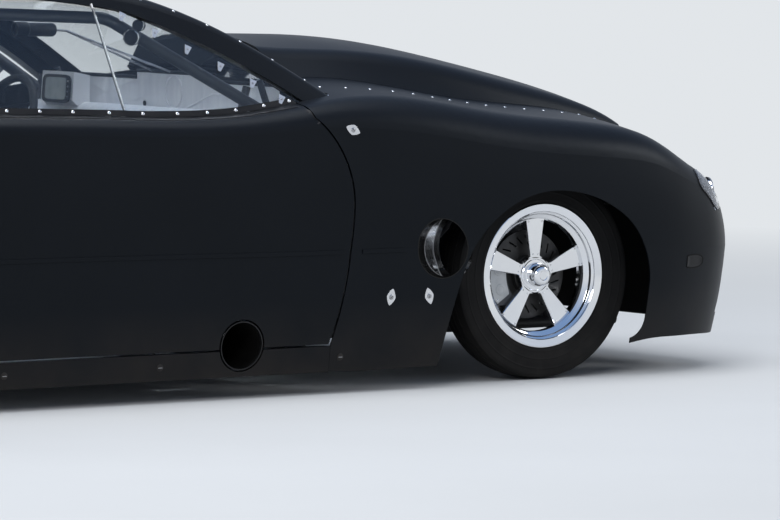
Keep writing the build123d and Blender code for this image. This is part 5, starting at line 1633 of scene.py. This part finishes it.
class DRAGCAR_OT_steering(bpy.types.Operator):
    """Wrapped steering wheel with black discs painted as the shade of drilled holes in the spokes, and a
    bolted hub
    """

    bl_idname = "dragcar.steering"
    bl_label = "Steering wheel"

    def execute(self, context):
        centre = middle("steering_wheel")
        tilt = math.radians(22.0)
        column = Vector((-math.cos(tilt), 0.0, math.sin(tilt)))
        place = facing(Vector((ahead(-1.300), centre.y, 0.800)), column)
        wheel = Shape()
        profile = []
        for step in range(16):
            t = 2 * math.pi * step / 16
            profile.append((0.0135 * math.sin(t), 0.165 + 0.0135 * math.cos(t)))
        wheel.lathe(profile, place, 120, loop=True)
        wheel.kind = 1
        wheel.lathe(
            [(-0.012, 0.0), (-0.012, 0.030), (-0.004, 0.037), (0.004, 0.037), (0.0045, 0.032), (0.011, 0.027),
             (0.0115, 0.010), (0.0115, 0.0)],
            place, 48,
        )
        for side in (-1, 1):
            half_spoke = [(0.020, -0.021), (0.150, -0.014), (0.156, 0.0), (0.150, 0.014), (0.020, 0.021)]
            outline = [(side * x, y) for x, y in half_spoke]
            wheel.plate(outline, 0.0035, place @ Matrix.Translation((0.0, 0.0, -0.0018)))
            # The drilled holes are flat black discs: painted shade, no holes are cut
            wheel.kind = 2
            for at in (0.062, 0.088, 0.112):
                spot = place @ Vector((side * at, 0.0, 0.0017))
                wheel.dome(spot, place.to_3x3() @ Vector((0.0, 0.0, 1.0)), 0.0058, 0.0006, 16)
            wheel.kind = 1
        wheel.kind = 3
        for number in range(6):
            turn = 2 * math.pi * number / 6
            spot = place @ Vector((0.0215 * math.cos(turn), 0.0215 * math.sin(turn), 0.0112))
            wheel.dome(spot, place.to_3x3() @ Vector((0.0, 0.0, 1.0)), 0.0032, 0.002, 6)
        wheel.make("wrapped_wheel", "grip sheet inner_black bright", "steering_wheel_body", angle=40.0,
                   replaces=("steering_wheel",))
        return {"FINISHED"}


PIECES = [
    DRAGCAR_OT_paint,
    DRAGCAR_OT_stage,
    DRAGCAR_OT_wheels,
    DRAGCAR_OT_brakes,
    DRAGCAR_OT_rivets,
    DRAGCAR_OT_side_windows,
    DRAGCAR_OT_glass_edging,
    DRAGCAR_OT_body_fasteners,
    DRAGCAR_OT_headlamps,
    DRAGCAR_OT_cabin,
    DRAGCAR_OT_body_lines,
    DRAGCAR_OT_grille,
    DRAGCAR_OT_springs,
    DRAGCAR_OT_seat_pads,
    DRAGCAR_OT_chute,
    DRAGCAR_OT_steering,
]


class DRAGCAR_PT_panel(bpy.types.Panel):
    """Lists the settings and pieces of the drag car"""

    bl_idname = "DRAGCAR_PT_panel"
    bl_label = "Drag car"
    bl_space_type = "VIEW_3D"
    bl_region_type = "UI"
    bl_category = "Drag car"

    def draw(self, context):
        scene = context.scene
        for key in GROUPS:
            group = getattr(scene, key)
            box = self.layout.box()
            for name in group.bl_rna.properties.keys():
                if name not in ("rna_type", "name"):
                    box.prop(group, name)
        for piece in PIECES:
            self.layout.operator(piece.bl_idname)


GROUPS = {
    "dragcar_paint": PaintSettings,
    "dragcar_wheels": WheelSettings,
    "dragcar_fasteners": FastenerSettings,
    "dragcar_stage": StageSettings,
}


def register():
    for name, group in GROUPS.items():
        bpy.utils.register_class(group)
        setattr(bpy.types.Scene, name, bpy.props.PointerProperty(type=group))
    for piece in PIECES:
        bpy.utils.register_class(piece)
    bpy.utils.register_class(DRAGCAR_PT_panel)


def unregister():
    bpy.utils.unregister_class(DRAGCAR_PT_panel)
    for piece in reversed(PIECES):
        bpy.utils.unregister_class(piece)
    for name, group in GROUPS.items():
        delattr(bpy.types.Scene, name)
        bpy.utils.unregister_class(group)


def main():
    register()
    for piece in PIECES:
        group, action = piece.bl_idname.split(".")
        getattr(getattr(bpy.ops, group), action)()


if __name__ == "__main__":
    main()
